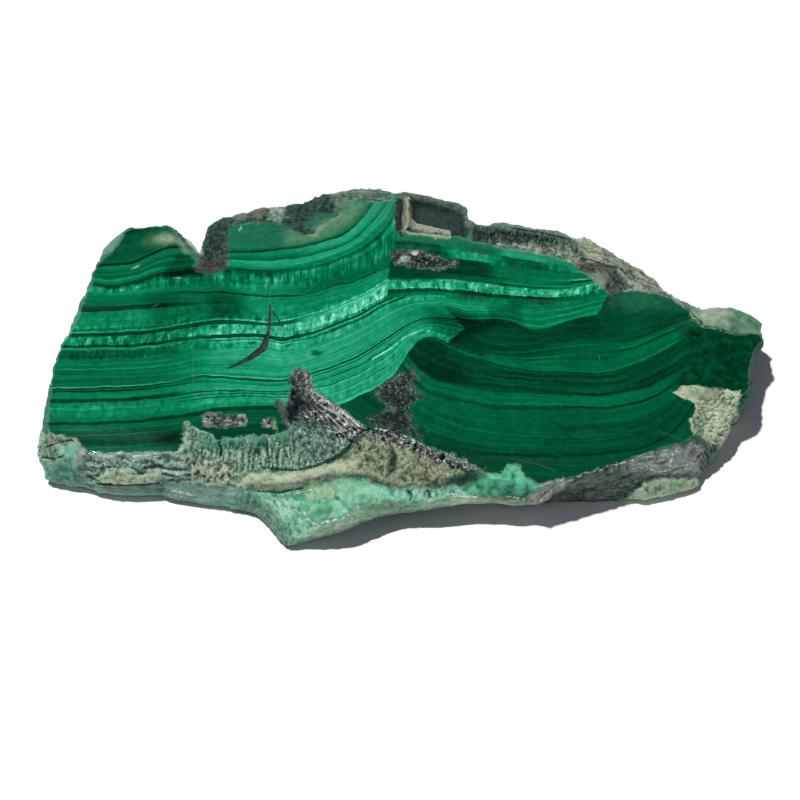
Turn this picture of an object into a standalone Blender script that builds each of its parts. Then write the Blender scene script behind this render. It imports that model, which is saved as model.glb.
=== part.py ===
import bpy
import numpy as np
from mathutils import Vector, noise
from mathutils.geometry import delaunay_2d_cdt

for old in list(bpy.data.objects):
    bpy.data.objects.remove(old, do_unlink=True)

# A slab of banded stone lying on its back. Lengths are in millimetres until the mesh is made:
# x runs along the slab, y away from the green foot, z up from the resting face.
FACE_Z = 8.0
EDGE_STEP = 1.15
ROUGH_STEP = 1.15
FACE_STEP = 5.0
BASE_STEP = 5.5
WALL_ROWS = 4
ROUGHNESS = 0.28
WALL_ROUGHNESS = 0.9

# Outermost line of the slab seen from above: x, y, height, and how far the resting face lies inside it.
RIM = [
    (-57.9, -1.1, 6.2, 1.0), (-58.3, -5.0, 5.5, 1.0), (-58.9, -9.0, 4.5, 0.9), (-59.5, -12.0, 3.0, 0.8),
    (-60.0, -16.2, 1.4, 0.8), (-59.6, -18.0, 1.4, 0.8), (-58.4, -19.4, 1.4, 0.8), (-58.3, -21.4, 1.3, 0.8),
    (-56.9, -22.0, 1.3, 0.8), (-53.6, -22.8, 1.3, 0.8), (-51.0, -23.1, 1.3, 0.8), (-49.7, -24.1, 1.2, 0.8),
    (-46.7, -24.5, 1.2, 0.8), (-42.6, -24.8, 1.2, 0.8), (-39.1, -24.6, 1.2, 0.8), (-36.7, -25.5, 1.2, 0.8),
    (-32.6, -26.3, 1.1, 0.8), (-29.1, -26.7, 1.1, 0.8), (-26.3, -27.3, 1.1, 0.8), (-23.5, -27.9, 1.0, 0.8),
    (-21.6, -30.1, 0.9, 0.8), (-20.5, -31.8, 0.9, 0.8), (-19.0, -33.9, 0.9, 0.8), (-18.1, -34.6, 0.9, 0.8),
    (-15.5, -34.2, 1.7, 1.2), (-12.8, -34.0, 2.8, 1.8), (-9.9, -33.5, 3.6, 2.4), (-7.5, -32.8, 4.0, 3.0),
    (-5.1, -31.5, 4.0, 3.4), (-2.7, -30.4, 3.6, 3.6), (0.0, -29.6, 3.2, 3.8), (3.2, -29.5, 3.6, 4.0),
    (6.3, -29.3, 4.2, 4.0), (10.9, -28.5, 4.4, 3.6), (15.6, -28.6, 4.6, 3.2), (18.0, -28.9, 4.4, 3.0),
    (20.6, -28.6, 4.2, 2.9), (22.2, -28.6, 4.6, 2.8), (24.2, -27.9, 5.8, 2.6), (25.9, -27.0, 6.6, 2.0),
    (29.7, -25.7, 6.6, 0.7), (32.5, -24.7, 6.4, -0.3), (35.5, -24.1, 5.4, -0.8), (37.5, -24.3, 3.6, -0.5),
    (39.6, -25.3, 1.3, 0.6), (43.3, -24.4, 1.1, 0.7), (46.3, -23.4, 1.0, 0.7), (48.5, -22.7, 1.0, 0.7),
    (50.1, -19.8, 1.2, 0.8), (51.2, -18.5, 2.2, 0.9), (52.2, -16.8, 3.2, 1.0), (53.5, -15.5, 3.6, 1.0),
    (54.7, -13.6, 4.4, 1.1), (54.8, -12.0, 5.4, 1.2), (55.9, -10.6, 6.4, 1.2), (57.3, -9.6, 6.8, 1.2),
    (58.3, -8.0, 6.9, 1.2), (58.5, -6.1, 6.9, 1.2), (58.8, -3.4, 6.9, 1.2), (59.8, 0.3, 6.9, 1.2),
    (61.4, 2.6, 7.0, 1.2), (61.2, 5.9, 7.1, 1.2), (61.8, 7.0, 7.2, 1.2), (60.9, 8.4, 7.2, 1.2),
    (57.8, 10.4, 7.3, 1.2), (55.0, 11.2, 7.2, 1.2), (53.1, 11.2, 7.1, 1.2), (51.7, 10.6, 7.0, 1.2),
    (50.6, 10.9, 7.0, 1.2), (45.4, 14.9, 6.7, 1.2), (43.9, 18.1, 6.5, 1.2), (40.0, 21.6, 6.4, 1.2),
    (37.5, 23.6, 6.4, 1.2), (36.1, 25.0, 6.6, 1.2), (34.3, 26.1, 6.8, 1.0), (32.4, 27.2, 6.9, 1.0),
    (31.0, 26.9, 6.9, 1.0), (29.3, 28.1, 7.0, 1.0), (26.7, 29.0, 7.0, 1.0), (24.1, 29.2, 7.0, 1.0),
    (20.9, 29.9, 7.0, 1.0), (18.9, 30.8, 7.0, 1.0), (17.2, 31.1, 7.0, 1.0), (15.3, 30.1, 6.9, 1.0),
    (13.5, 30.5, 6.9, 1.0), (12.3, 31.3, 6.9, 0.8), (12.1, 34.4, 6.9, 0.8), (10.6, 35.4, 6.9, 0.8),
    (3.2, 37.6, 7.1, 0.8), (0.9, 38.0, 7.2, 0.8), (-1.2, 37.6, 7.2, 1.0), (-3.3, 38.6, 7.2, 1.0),
    (-7.7, 38.8, 7.1, 1.0), (-11.6, 37.9, 7.1, 1.0), (-13.6, 37.7, 7.0, 1.0), (-17.2, 35.3, 7.0, 1.0),
    (-19.0, 35.2, 7.0, 1.0), (-20.2, 34.6, 7.0, 1.0), (-26.0, 33.9, 6.9, 1.0), (-27.0, 33.0, 6.8, 1.0),
    (-31.3, 32.3, 6.8, 0.8), (-32.8, 31.0, 6.9, 0.8), (-33.9, 29.6, 6.9, 0.7), (-34.2, 26.9, 7.0, 0.6),
    (-34.6, 25.4, 7.0, 0.5), (-34.9, 23.0, 7.1, 0.4), (-35.9, 25.2, 7.2, 0.5), (-37.1, 26.4, 7.2, 0.6),
    (-38.1, 27.4, 7.3, 0.8), (-39.0, 28.7, 7.2, 1.0), (-40.5, 29.8, 7.2, 1.0), (-47.8, 28.9, 7.0, 1.0),
    (-49.2, 28.0, 6.9, 1.0), (-50.8, 26.3, 6.8, 1.0), (-52.1, 24.1, 6.8, 1.0), (-52.4, 21.7, 6.7, 1.0),
    (-53.3, 18.8, 6.7, 1.0), (-53.6, 16.5, 6.6, 1.0), (-54.3, 13.3, 6.5, 1.0), (-55.1, 11.6, 6.5, 1.0),
    (-55.7, 8.5, 6.4, 1.0), (-56.6, 5.2, 6.3, 1.0), (-57.5, 2.4, 6.3, 1.0),
]

# Edge of the flat polished face.
FACE = [
    (-57.0, -16.6), (-55.5, -17.6), (-52.6, -18.0), (-52.1, -20.0), (-51.2, -21.3), (-49.0, -21.3),
    (-46.8, -22.0), (-44.7, -21.0), (-42.4, -21.9), (-39.8, -21.3), (-35.0, -20.7), (-34.6, -14.6),
    (-33.2, -16.0), (-31.0, -17.0), (-29.8, -18.3), (-26.5, -18.3), (-25.2, -17.7), (-23.8, -18.3),
    (-22.2, -17.3), (-20.3, -17.7), (-17.3, -15.7), (-18.9, -13.9), (-20.4, -10.3), (-19.2, -9.8),
    (-18.1, -9.8), (-17.8, -8.0), (-18.1, -5.2), (-16.8, -3.8), (-15.3, -4.1), (-14.6, -6.2),
    (-14.5, -8.2), (-12.5, -9.4), (-8.2, -13.9), (-5.2, -15.6), (-1.9, -16.3), (-0.8, -18.0),
    (1.1, -17.0), (3.5, -19.3), (6.2, -20.3), (13.0, -24.2), (14.5, -26.0), (17.3, -26.4),
    (18.0, -24.8), (18.6, -24.8), (21.5, -28.0), (25.0, -26.6), (32.4, -24.0), (35.6, -22.7),
    (37.5, -21.7), (39.7, -21.1), (42.4, -19.8), (45.0, -19.1), (46.6, -18.3), (47.7, -17.3),
    (47.5, -14.6), (48.7, -11.8), (48.5, -10.8), (45.2, -8.7), (46.4, -7.3), (47.8, -7.1),
    (53.3, -7.7), (55.4, -9.2), (56.8, -8.8), (57.5, -7.8), (58.0, -4.1), (59.1, 0.0), (60.7, 2.5),
    (60.5, 4.0), (59.5, 4.3), (57.2, 3.8), (55.3, 4.1), (54.0, 4.9), (51.7, 5.6), (50.4, 6.7),
    (48.2, 10.0), (46.6, 11.5), (43.9, 13.0), (41.1, 14.0), (38.3, 13.8), (35.9, 12.6), (35.5, 14.5),
    (36.3, 17.3), (35.8, 18.3), (34.3, 19.1), (31.8, 17.9), (30.6, 18.3), (30.2, 19.8), (23.6, 22.2),
    (19.0, 22.9), (14.8, 24.3), (11.6, 24.9), (9.3, 26.0), (4.1, 26.6), (0.2, 27.4), (-0.1, 30.0),
    (0.3, 34.9), (-4.5, 34.2), (-6.5, 34.8), (-9.5, 34.4), (-10.9, 32.4), (-11.0, 31.2), (-15.0, 28.0),
    (-15.6, 26.1), (-22.9, 29.7), (-30.1, 28.5), (-30.0, 19.5), (-31.0, 18.2), (-34.8, 18.3),
    (-35.2, 20.4), (-38.4, 24.5), (-39.2, 26.8), (-40.6, 28.4), (-42.8, 28.4), (-47.4, 27.6),
    (-48.2, 26.8), (-48.4, 24.9), (-49.8, 22.3), (-51.8, 20.3), (-52.7, 17.6), (-52.9, 15.3),
    (-55.2, 4.5), (-56.2, 2.4), (-56.9, -0.2), (-57.4, -2.7), (-57.6, -8.4), (-57.4, -15.0),
]

# Heights of the broken surface between the polished face and the rim: x, y, z.
RIDGE_CREST = [
    (-25.3, -24.2, 5.6), (-22.9, -24.3, 5.9), (-20.1, -24.7, 6.2), (-16.1, -24.3, 6.3),
    (-12.9, -23.4, 6.4), (-9.7, -22.5, 6.5), (-7.8, -22.2, 6.4), (-5.2, -23.0, 6.2),
]
RIDGE_BACK = [
    (-25.1, -22.3, 5.4), (-22.4, -22.1, 5.3), (-19.4, -22.1, 5.3), (-16.2, -21.9, 5.3),
    (-13.8, -21.4, 5.3), (-11.4, -20.5, 5.0), (-9.6, -19.2, 4.7), (-8.0, -17.5, 5.2),
]
RIDGE_FRONT = [
    (-27.1, -23.9, 4.0), (-23.7, -25.8, 4.2), (-20.1, -26.4, 4.5), (-15.0, -25.6, 4.7),
    (-11.3, -24.3, 4.9), (-6.8, -23.9, 4.9), (-4.4, -24.5, 4.9), (-2.4, -25.6, 4.8),
    (0.0, -25.9, 4.7), (6.0, -25.7, 4.7), (10.5, -25.2, 5.1),
]
FOOT = [
    (-22.2, -28.1, 3.6), (-20.1, -29.6, 3.4), (-17.6, -31.8, 3.0), (-15.8, -33.0, 2.5),
    (-18.5, -27.2, 4.5), (-17.7, -29.1, 4.2), (-15.1, -27.5, 4.9), (-14.9, -31.5, 3.6),
    (-8.0, -27.8, 5.2), (-8.0, -31.5, 4.6), (-11.2, -29.7, 4.5), (-9.5, -25.4, 5.3),
    (-3.1, -26.4, 5.2), (-3.1, -28.4, 4.8), (-5.6, -29.7, 4.5), (0.0, -27.5, 4.9),
    (3.2, -27.7, 4.7), (6.4, -27.0, 5.0), (9.7, -26.8, 5.0), (-12.8, -32.7, 3.4),
]
LUMP = [
    (-6.0, -17.9, 7.2), (-3.9, -18.1, 7.8), (-1.2, -19.6, 7.9), (1.7, -20.3, 8.0), (4.0, -21.7, 7.8),
    (7.4, -23.0, 7.4), (10.0, -24.0, 6.9), (-5.7, -20.2, 7.2), (-2.4, -21.9, 7.4), (0.8, -22.2, 7.5),
    (3.2, -23.3, 7.2), (6.4, -24.3, 6.5), (-1.9, -24.0, 6.2), (1.9, -24.2, 6.3), (-3.6, -20.0, 7.1),
    (-3.2, -22.6, 6.2),
]
SPIRE = [
    (-16.6, -6.4, 6.9), (-16.2, -8.7, 6.4), (-16.6, -11.0, 6.2), (-14.9, -13.0, 5.9), (-12.3, -15.0, 5.6),
    (-10.3, -17.0, 5.2), (-9.0, -14.6, 6.7), (-11.5, -12.0, 6.8), (-14.0, -9.6, 6.9), (-7.8, -16.0, 6.3),
]
FRACTURE = [
    (-33.4, -17.4, 7.3), (-30.4, -19.2, 6.9), (-26.8, -19.2, 7.1), (-23.6, -19.0, 6.7),
    (-20.3, -18.8, 6.9), (-17.1, -17.8, 6.7), (-14.3, -17.4, 6.4), (-33.0, -20.4, 6.5),
    (-28.4, -20.8, 6.0), (-24.3, -20.6, 6.0), (-20.3, -20.4, 5.8), (-16.2, -20.2, 5.9),
    (-13.0, -19.1, 5.6), (-32.0, -22.6, 5.3), (-29.0, -23.0, 4.9),
]
LEFT_WALL = [
    (-58.2, -17.8, 5.4), (-55.4, -19.8, 6.6), (-54.0, -21.2, 4.8), (-51.2, -22.4, 5.0),
    (-45.4, -23.4, 4.6), (-40.5, -23.2, 4.6), (-35.7, -23.4, 4.6), (-30.8, -24.9, 3.4),
    (-26.7, -25.8, 2.9), (-57.2, -20.2, 3.9),
]
GREEN_BAY = [
    (12.6, -26.0, 6.4), (15.8, -27.3, 6.4), (18.3, -26.6, 6.7), (20.4, -28.0, 6.2),
]
RIGHT_WALL = [
    (40.0, -23.0, 5.4), (44.0, -21.6, 5.6), (47.4, -20.0, 5.5), (43.9, -23.2, 3.4), (47.8, -21.5, 3.2),
]
CRUST = [
    (49.7, -8.2, 6.7), (53.3, -8.6, 6.6), (52.0, -10.0, 6.4), (50.6, -11.4, 6.3), (53.0, -12.2, 6.1),
    (49.6, -13.7, 6.2), (52.0, -14.7, 5.6), (49.2, -16.6, 5.9), (50.6, -17.3, 4.9), (48.0, -18.6, 6.0),
]
BACK_MARGIN = [
    (50.9, 8.0, 7.7), (53.4, 8.1, 7.9), (56.0, 9.0, 7.8), (58.5, 8.2, 7.7), (60.2, 6.6, 7.6),
    (56.8, 5.8, 7.5), (36.7, 21.0, 7.2), (37.9, 17.9, 7.5), (39.1, 15.4, 7.4), (41.5, 16.4, 7.3),
    (43.9, 15.0, 7.2), (41.0, 19.0, 6.9), (33.6, 22.6, 6.9), (-12.4, 33.8, 7.0), (-15.2, 31.6, 6.8),
    (-18.4, 30.6, 6.9), (-22.4, 31.8, 7.2), (-27.6, 31.0, 7.1), (-32.2, 26.0, 7.2), (-32.4, 21.6, 7.3),
    (-36.6, 24.2, 7.3), (-6.6, 36.8, 7.6), (-1.4, 36.2, 7.5), (-49.6, 25.2, 7.3),
]
KNOTS = (
    RIDGE_CREST + RIDGE_BACK + RIDGE_FRONT + FOOT + LUMP + SPIRE + FRACTURE + LEFT_WALL + GREEN_BAY
    + RIGHT_WALL + CRUST + BACK_MARGIN
)

# Pockets with a floor of their own: outline, floor height, width of the sloping side.
POCKETS = [
    (
        [(0.6, 27.8), (4.1, 27.0), (9.3, 26.4), (11.4, 25.5), (11.8, 28.0), (11.3, 30.5), (11.5, 33.2),
         (10.2, 34.4), (5.5, 35.9), (2.5, 36.5), (0.8, 36.2)],
        5.5, 0.7,
    ),
    (
        [(12.6, 25.2), (14.8, 24.8), (19.0, 23.5), (23.6, 22.8), (30.0, 20.5), (31.4, 22.0), (29.4, 24.8),
         (25.2, 27.2), (20.2, 28.4), (16.4, 29.4), (13.0, 29.0)],
        5.9, 0.8,
    ),
    ([(-32.6, -12.5), (-31.6, -15.2), (-28.4, -15.9), (-25.0, -15.4), (-25.2, -13.6), (-28.8, -13.2)], 7.0, 0.7),
    ([(-22.8, -13.4), (-22.2, -15.2), (-20.5, -15.5), (-20.4, -13.8)], 7.1, 0.6),
    ([(-1.4, 22.6), (-0.8, 20.0), (3.4, 18.8), (9.6, 18.9), (10.4, 20.2), (4.6, 21.4)], 7.4, 0.8),
    (
        [(0.5, -4.8), (1.4, -3.2), (2.6, -5.0), (1.5, -8.0), (4.5, -8.7), (1.2, -11.5), (1.6, -15.0),
         (2.2, -17.0), (0.8, -16.4), (-1.0, -17.0), (-2.0, -15.9), (-4.8, -15.2), (-3.2, -12.5),
         (-1.0, -12.0), (-2.8, -10.7), (-3.8, -7.8), (-1.5, -6.0)],
        7.6, 0.9,
    ),
]


def smoothstep(t):
    t = np.clip(t, 0.0, 1.0)
    return t * t * (3.0 - 2.0 * t)


def resample(points, step):
    """Closed outline walked in steps of about the given length, keeping every corner."""
    points = np.array(points, float)
    out = []
    for a, b in zip(points, np.roll(points, -1, axis=0)):
        count = max(1, int(round(np.hypot(*(b - a)[:2]) / step)))
        out.extend(a + (b - a) * k / count for k in range(count))
    return np.array(out)


def edge_distance(pts, outline):
    """Distance of each point to a closed outline, and whether the point is inside it."""
    a = np.array(outline, float)[:, :2]
    d = np.roll(a, -1, axis=0) - a
    v = pts[:, None, :2] - a[None]
    t = np.clip((v * d).sum(-1) / (d * d).sum(-1), 0.0, 1.0)
    dist = np.sqrt(((v - t[..., None] * d) ** 2).sum(-1)).min(1)
    rises = (a[None, :, 1] > pts[:, 1, None]) != ((a + d)[None, :, 1] > pts[:, 1, None])
    at = a[None, :, 0] + (pts[:, 1, None] - a[None, :, 1]) * d[None, :, 0] / np.where(
        np.abs(d[None, :, 1]) < 1e-9, 1e-9, d[None, :, 1]
    )
    return dist, (rises & (pts[:, 0, None] < at)).sum(1) % 2 == 1


def triangulate(points, loops):
    """Triangles over the area inside the outer loop; each loop is a list of vertex indices."""
    edges = [(loop[k], loop[(k + 1) % len(loop)]) for loop in loops for k in range(len(loop))]
    coords = [Vector((float(p[0]), float(p[1]))) for p in points]
    verts, _, faces, origin, _, _ = delaunay_2d_cdt(coords, edges, [loops[0]], 1, 1e-6)
    back = [group[0] for group in origin]
    return [tuple(back[i] for i in face) for face in faces]


def fractal(p, size, octaves=4, seed=0.0):
    return noise.fractal(Vector((p[0] / size + seed, p[1] / size, p[2] / size)), 0.9, 2.1, octaves)


def scatter(low, high, step, jitter):
    """Staggered rows of points with a little repeatable unevenness."""
    rows = []
    for j, y in enumerate(np.arange(low[1], high[1], step * 0.866)):
        for x in np.arange(low[0] + (j % 2) * step / 2, high[0], step):
            shift = noise.noise_vector(Vector((x * 0.7, y * 0.7, 3.1)))
            rows.append((x + shift.x * jitter, y + shift.y * jitter))
    return np.array(rows)


# Coarse sheet of triangles through the face edge, the rim and the knots.
face = np.array([(x, y, FACE_Z) for x, y in FACE])
rim = np.array(RIM)
knots = np.array(KNOTS)
near_face, in_face = edge_distance(knots, FACE)
near_rim, in_rim = edge_distance(knots, RIM)
knots = knots[~in_face & (near_face > 0.5) & in_rim & (near_rim > 0.5)]
coarse = np.vstack([rim[:, :3], face, knots])
loops = [list(range(len(rim))), list(range(len(rim), len(rim) + len(face)))]
sheet = np.array(triangulate(coarse, loops))


def sheet_height(pts):
    a, b, c = (coarse[sheet[:, k]] for k in range(3))
    det = (b[:, 1] - c[:, 1]) * (a[:, 0] - c[:, 0]) + (c[:, 0] - b[:, 0]) * (a[:, 1] - c[:, 1])
    dx = pts[:, None, 0] - c[None, :, 0]
    dy = pts[:, None, 1] - c[None, :, 1]
    u = ((b[:, 1] - c[:, 1]) * dx + (c[:, 0] - b[:, 0]) * dy) / det
    v = ((c[:, 1] - a[:, 1]) * dx + (a[:, 0] - c[:, 0]) * dy) / det
    w = 1.0 - u - v
    pick = np.minimum(np.minimum(u, v), w).argmax(1)
    row = np.arange(len(pts))
    u, v, w = u[row, pick], v[row, pick], w[row, pick]
    return u * a[pick, 2] + v * b[pick, 2] + w * c[pick, 2]


# Fine points: the rim, the face edge, the broken surface and, wider apart, the polished face.
rim_line = resample(RIM, EDGE_STEP)
face_line = resample(FACE, EDGE_STEP)
low, high = rim[:, :2].min(0) - 1.0, rim[:, :2].max(0) + 1.0
pocket_edges = [outline for outline, _, _ in POCKETS]


def in_some_pocket(pts, reach):
    found = np.zeros(len(pts), bool)
    for outline in pocket_edges:
        dist, inside = edge_distance(pts, outline)
        found |= inside | (dist < reach)
    return found


fine = scatter(low, high, ROUGH_STEP, 0.25)
from_face, in_face = edge_distance(fine, FACE)
from_rim, in_rim = edge_distance(fine, RIM)
fine = fine[in_rim & (from_rim > 0.55) & (from_face > 0.55) & (~in_face | in_some_pocket(fine, 0.8))]
pocket_lines = np.vstack([resample(outline, EDGE_STEP) for outline in pocket_edges])
from_pocket = np.hypot(
    fine[:, None, 0] - pocket_lines[None, :, 0], fine[:, None, 1] - pocket_lines[None, :, 1]
).min(1)
fine = fine[from_pocket > 0.5]
from_face, _ = edge_distance(pocket_lines, FACE)
pocket_lines = pocket_lines[from_face > 0.25]
wide = scatter(low, high, FACE_STEP, 0.6)
from_face, in_face = edge_distance(wide, FACE)
wide = wide[in_face & (from_face > 2.0) & ~in_some_pocket(wide, 2.0)]
top = np.vstack([rim_line[:, :2], face_line[:, :2], pocket_lines, fine, wide])
n_rim, n_face = len(rim_line), len(face_line)
loops = [list(range(n_rim)), list(range(n_rim, n_rim + n_face))]
top_faces = triangulate(top, loops)

# Heights of the top: flat where polished, broken elsewhere, sunk in the pockets.
z = sheet_height(top)
z[:n_rim] = rim_line[:, 2]
dist_face, inside_face = edge_distance(top, FACE)
polished = inside_face | (dist_face < 1e-6)
z[polished] = FACE_Z
rough = np.where(polished, 0.0, smoothstep(dist_face / 1.2))
for outline, floor, side in POCKETS:
    dist, inside = edge_distance(top, outline)
    sunk = np.where(inside, smoothstep(dist / side), 0.0)
    z = z * (1.0 - sunk) + floor * sunk
    rough = np.maximum(rough, 0.7 * sunk)
rough[:n_rim] = 0.0
z += rough * ROUGHNESS * np.array([fractal((p[0], p[1], 0.0), 2.6) for p in top])
z = np.minimum(z, np.where(polished, FACE_Z, FACE_Z + 0.1))

# The resting face: the rim line moved inward along its own normal.
smooth_rim = rim_line[:, :2].copy()
for _ in range(6):
    smooth_rim = (np.roll(smooth_rim, 1, axis=0) + 2.0 * smooth_rim + np.roll(smooth_rim, -1, axis=0)) / 4.0
along = np.roll(smooth_rim, -1, axis=0) - np.roll(smooth_rim, 1, axis=0)
along /= np.linalg.norm(along, axis=1)[:, None]
outward = np.stack([along[:, 1], -along[:, 0]], 1)
uneven = np.array([0.5 * fractal((p[0], p[1], 0.0), 5.0, seed=3.0) for p in rim_line])
base_line = rim_line[:, :2] - outward * (rim_line[:, 3:4] + np.abs(uneven)[:, None])
for _ in range(2):
    base_line = (np.roll(base_line, 1, axis=0) + 2.0 * base_line + np.roll(base_line, -1, axis=0)) / 4.0

verts = [(p[0], p[1], h) for p, h in zip(top, z)]
faces = list(top_faces)
rows = [list(range(n_rim))]
for k in range(1, WALL_ROWS):
    t = k / WALL_ROWS
    row = []
    for i in range(n_rim):
        xy = rim_line[i, :2] * (1.0 - t) + base_line[i] * t
        h = rim_line[i, 2] * (1.0 - t)
        room = min(1.0, rim_line[i, 2] / 5.0)
        push = WALL_ROUGHNESS * room * (fractal((xy[0], xy[1], 1.6 * h), 4.2, seed=7.0) - 0.25)
        xy = xy + outward[i] * min(push, 0.12) * np.sin(np.pi * t)
        row.append(len(verts))
        verts.append((xy[0], xy[1], h))
    rows.append(row)
base = list(range(len(verts), len(verts) + n_rim))
verts += [(p[0], p[1], 0.0) for p in base_line]
rows.append(base)
for upper, lower in zip(rows, rows[1:]):
    for i in range(n_rim):
        j = (i + 1) % n_rim
        faces.append((upper[i], lower[i], lower[j]))
        faces.append((upper[i], lower[j], upper[j]))
under = scatter(low, high, BASE_STEP, 0.8)
from_base, in_base = edge_distance(under, base_line)
under = under[in_base & (from_base > 2.0)]
start = len(verts)
verts += [(p[0], p[1], 0.0) for p in under]
numbers = base + list(range(start, len(verts)))
flat = np.vstack([base_line, under])
for a, b, c in triangulate(flat, [list(range(n_rim))]):
    faces.append((numbers[c], numbers[b], numbers[a]))

points = np.array(verts, float)
centre = (points.min(0) + points.max(0)) / 2.0
points[:, :2] -= centre[:2]
print("centre of the outline in the drawing frame, mm:", centre[:2].round(3), "triangles:", len(faces))

mesh = bpy.data.meshes.new("malachite_stone")
mesh.from_pydata([tuple(p * 0.001) for p in points], [], faces)
mesh.validate()
stone = bpy.data.objects.new("malachite_stone", mesh)
bpy.context.scene.collection.objects.link(stone)

green = bpy.data.materials.new("banded_malachite")
green.use_nodes = True
shader = green.node_tree.nodes["Principled BSDF"]
shader.inputs["Base Color"].default_value = (0.012, 0.16, 0.075, 1.0)
shader.inputs["Roughness"].default_value = 0.35
shader.inputs["Metallic"].default_value = 0.0
mesh.materials.append(green)
mesh.shade_smooth()
mesh.set_sharp_from_angle(angle=np.radians(32.0))
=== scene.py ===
import math

import bpy
import numpy as np
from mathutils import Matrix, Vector


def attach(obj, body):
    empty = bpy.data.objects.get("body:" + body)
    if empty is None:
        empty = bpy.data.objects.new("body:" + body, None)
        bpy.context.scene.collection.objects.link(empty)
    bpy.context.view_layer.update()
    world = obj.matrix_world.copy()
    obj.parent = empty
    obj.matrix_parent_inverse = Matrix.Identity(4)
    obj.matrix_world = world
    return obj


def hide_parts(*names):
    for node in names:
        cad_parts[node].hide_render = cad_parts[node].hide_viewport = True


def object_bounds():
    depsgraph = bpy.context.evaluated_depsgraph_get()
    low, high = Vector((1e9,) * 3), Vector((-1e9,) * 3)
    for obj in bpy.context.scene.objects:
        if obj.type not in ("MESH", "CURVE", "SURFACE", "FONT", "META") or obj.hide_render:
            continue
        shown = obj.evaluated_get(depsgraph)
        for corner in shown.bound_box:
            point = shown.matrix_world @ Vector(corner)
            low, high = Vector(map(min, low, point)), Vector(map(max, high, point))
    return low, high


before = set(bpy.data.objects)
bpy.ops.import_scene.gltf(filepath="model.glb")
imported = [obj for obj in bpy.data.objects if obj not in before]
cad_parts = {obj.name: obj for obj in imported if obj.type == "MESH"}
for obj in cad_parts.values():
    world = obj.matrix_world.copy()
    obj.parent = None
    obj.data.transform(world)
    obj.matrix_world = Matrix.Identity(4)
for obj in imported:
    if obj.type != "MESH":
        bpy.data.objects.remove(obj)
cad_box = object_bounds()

# Everything is drawn in millimetres in the slab's own drawing frame: x along the slab, y away from
# the green foot, z up from the resting face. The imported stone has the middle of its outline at 0, 0.
MIDDLE = np.array([0.9, 2.1, 0.0])
MM = 0.001
FACE_Z = 8.0

# Photograph's view
ELEVATION = math.radians(52.0)
LENS = 100.0
SENSOR = 36.0
DISTANCE = 370.37
TARGET = np.array([0.0, -7.0, 4.0])
TO_CAMERA = np.array([0.0, -math.cos(ELEVATION), math.sin(ELEVATION)])
EYE = TARGET + DISTANCE * TO_CAMERA

# Longest edges, mm: on the polish, along thin lines, on broken surface that the camera sees, on the rest
# of it and on the resting face
FACE_STEP = 1.3
LINE_STEP = 0.30
ROUGH_STEP = 0.50
BACK_STEP = 1.0
BASE_STEP = 3.0
LINE_REACH = 0.35
AWAY_FROM_CAMERA = -0.15
SMOOTHING = 10

# A height this near the polished face or the floor belongs to it, mm
FACE_TOLERANCE = 0.001
BASE_TOLERANCE = 0.01

# Broken edge of the polished face, and how relief grows away from it and from the floor, mm
EDGE_WANDER = 0.25
EDGE_REACH = 1.0
LIP_WIDTH = 0.6
LIP_DEPTH = 0.25
RELIEF_START = 0.5
RELIEF_RISE = 0.8

# Grooves along the dark lines, mm
GROOVE_DEPTH = 0.22
GROOVE_SOFTNESS = 0.3

# Edges sharper than this aren't shaded smooth.
SHARP_ANGLE = math.radians(50.0)

# Depth at which a pit beside one vertex, and a hollow over a wider area, count as full, mm, the rounds
# of smoothing that find the hollows, and the margin of the polished face that may have either, mm
PIT_DEPTH = 0.035
HOLLOW_DEPTH = 0.12
HOLLOW_ROUNDS = 7
POLISH_MARGIN = 0.4

# Weight below which a part of the broken surface is left out, and how much faster it takes over on polish
LEAST_WEIGHT = 0.004
POLISH_GAIN = 6.0

# Tones of the green, from nearly black to light
INK, DEEP, DARK, DIM, MID, FAIR, BRIGHT, LIGHT = 0.05, 0.14, 0.24, 0.35, 0.46, 0.56, 0.66, 0.75
PALETTE = [
    (0.00, (0, 26, 12)), (0.10, (0, 38, 19)), (0.20, (0, 54, 30)), (0.30, (0, 73, 42)),
    (0.40, (0, 93, 56)), (0.50, (2, 114, 72)), (0.60, (12, 136, 92)), (0.70, (38, 160, 118)),
    (0.80, (74, 188, 148)), (0.90, (116, 218, 182)), (1.00, (168, 236, 208)),
]

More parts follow.
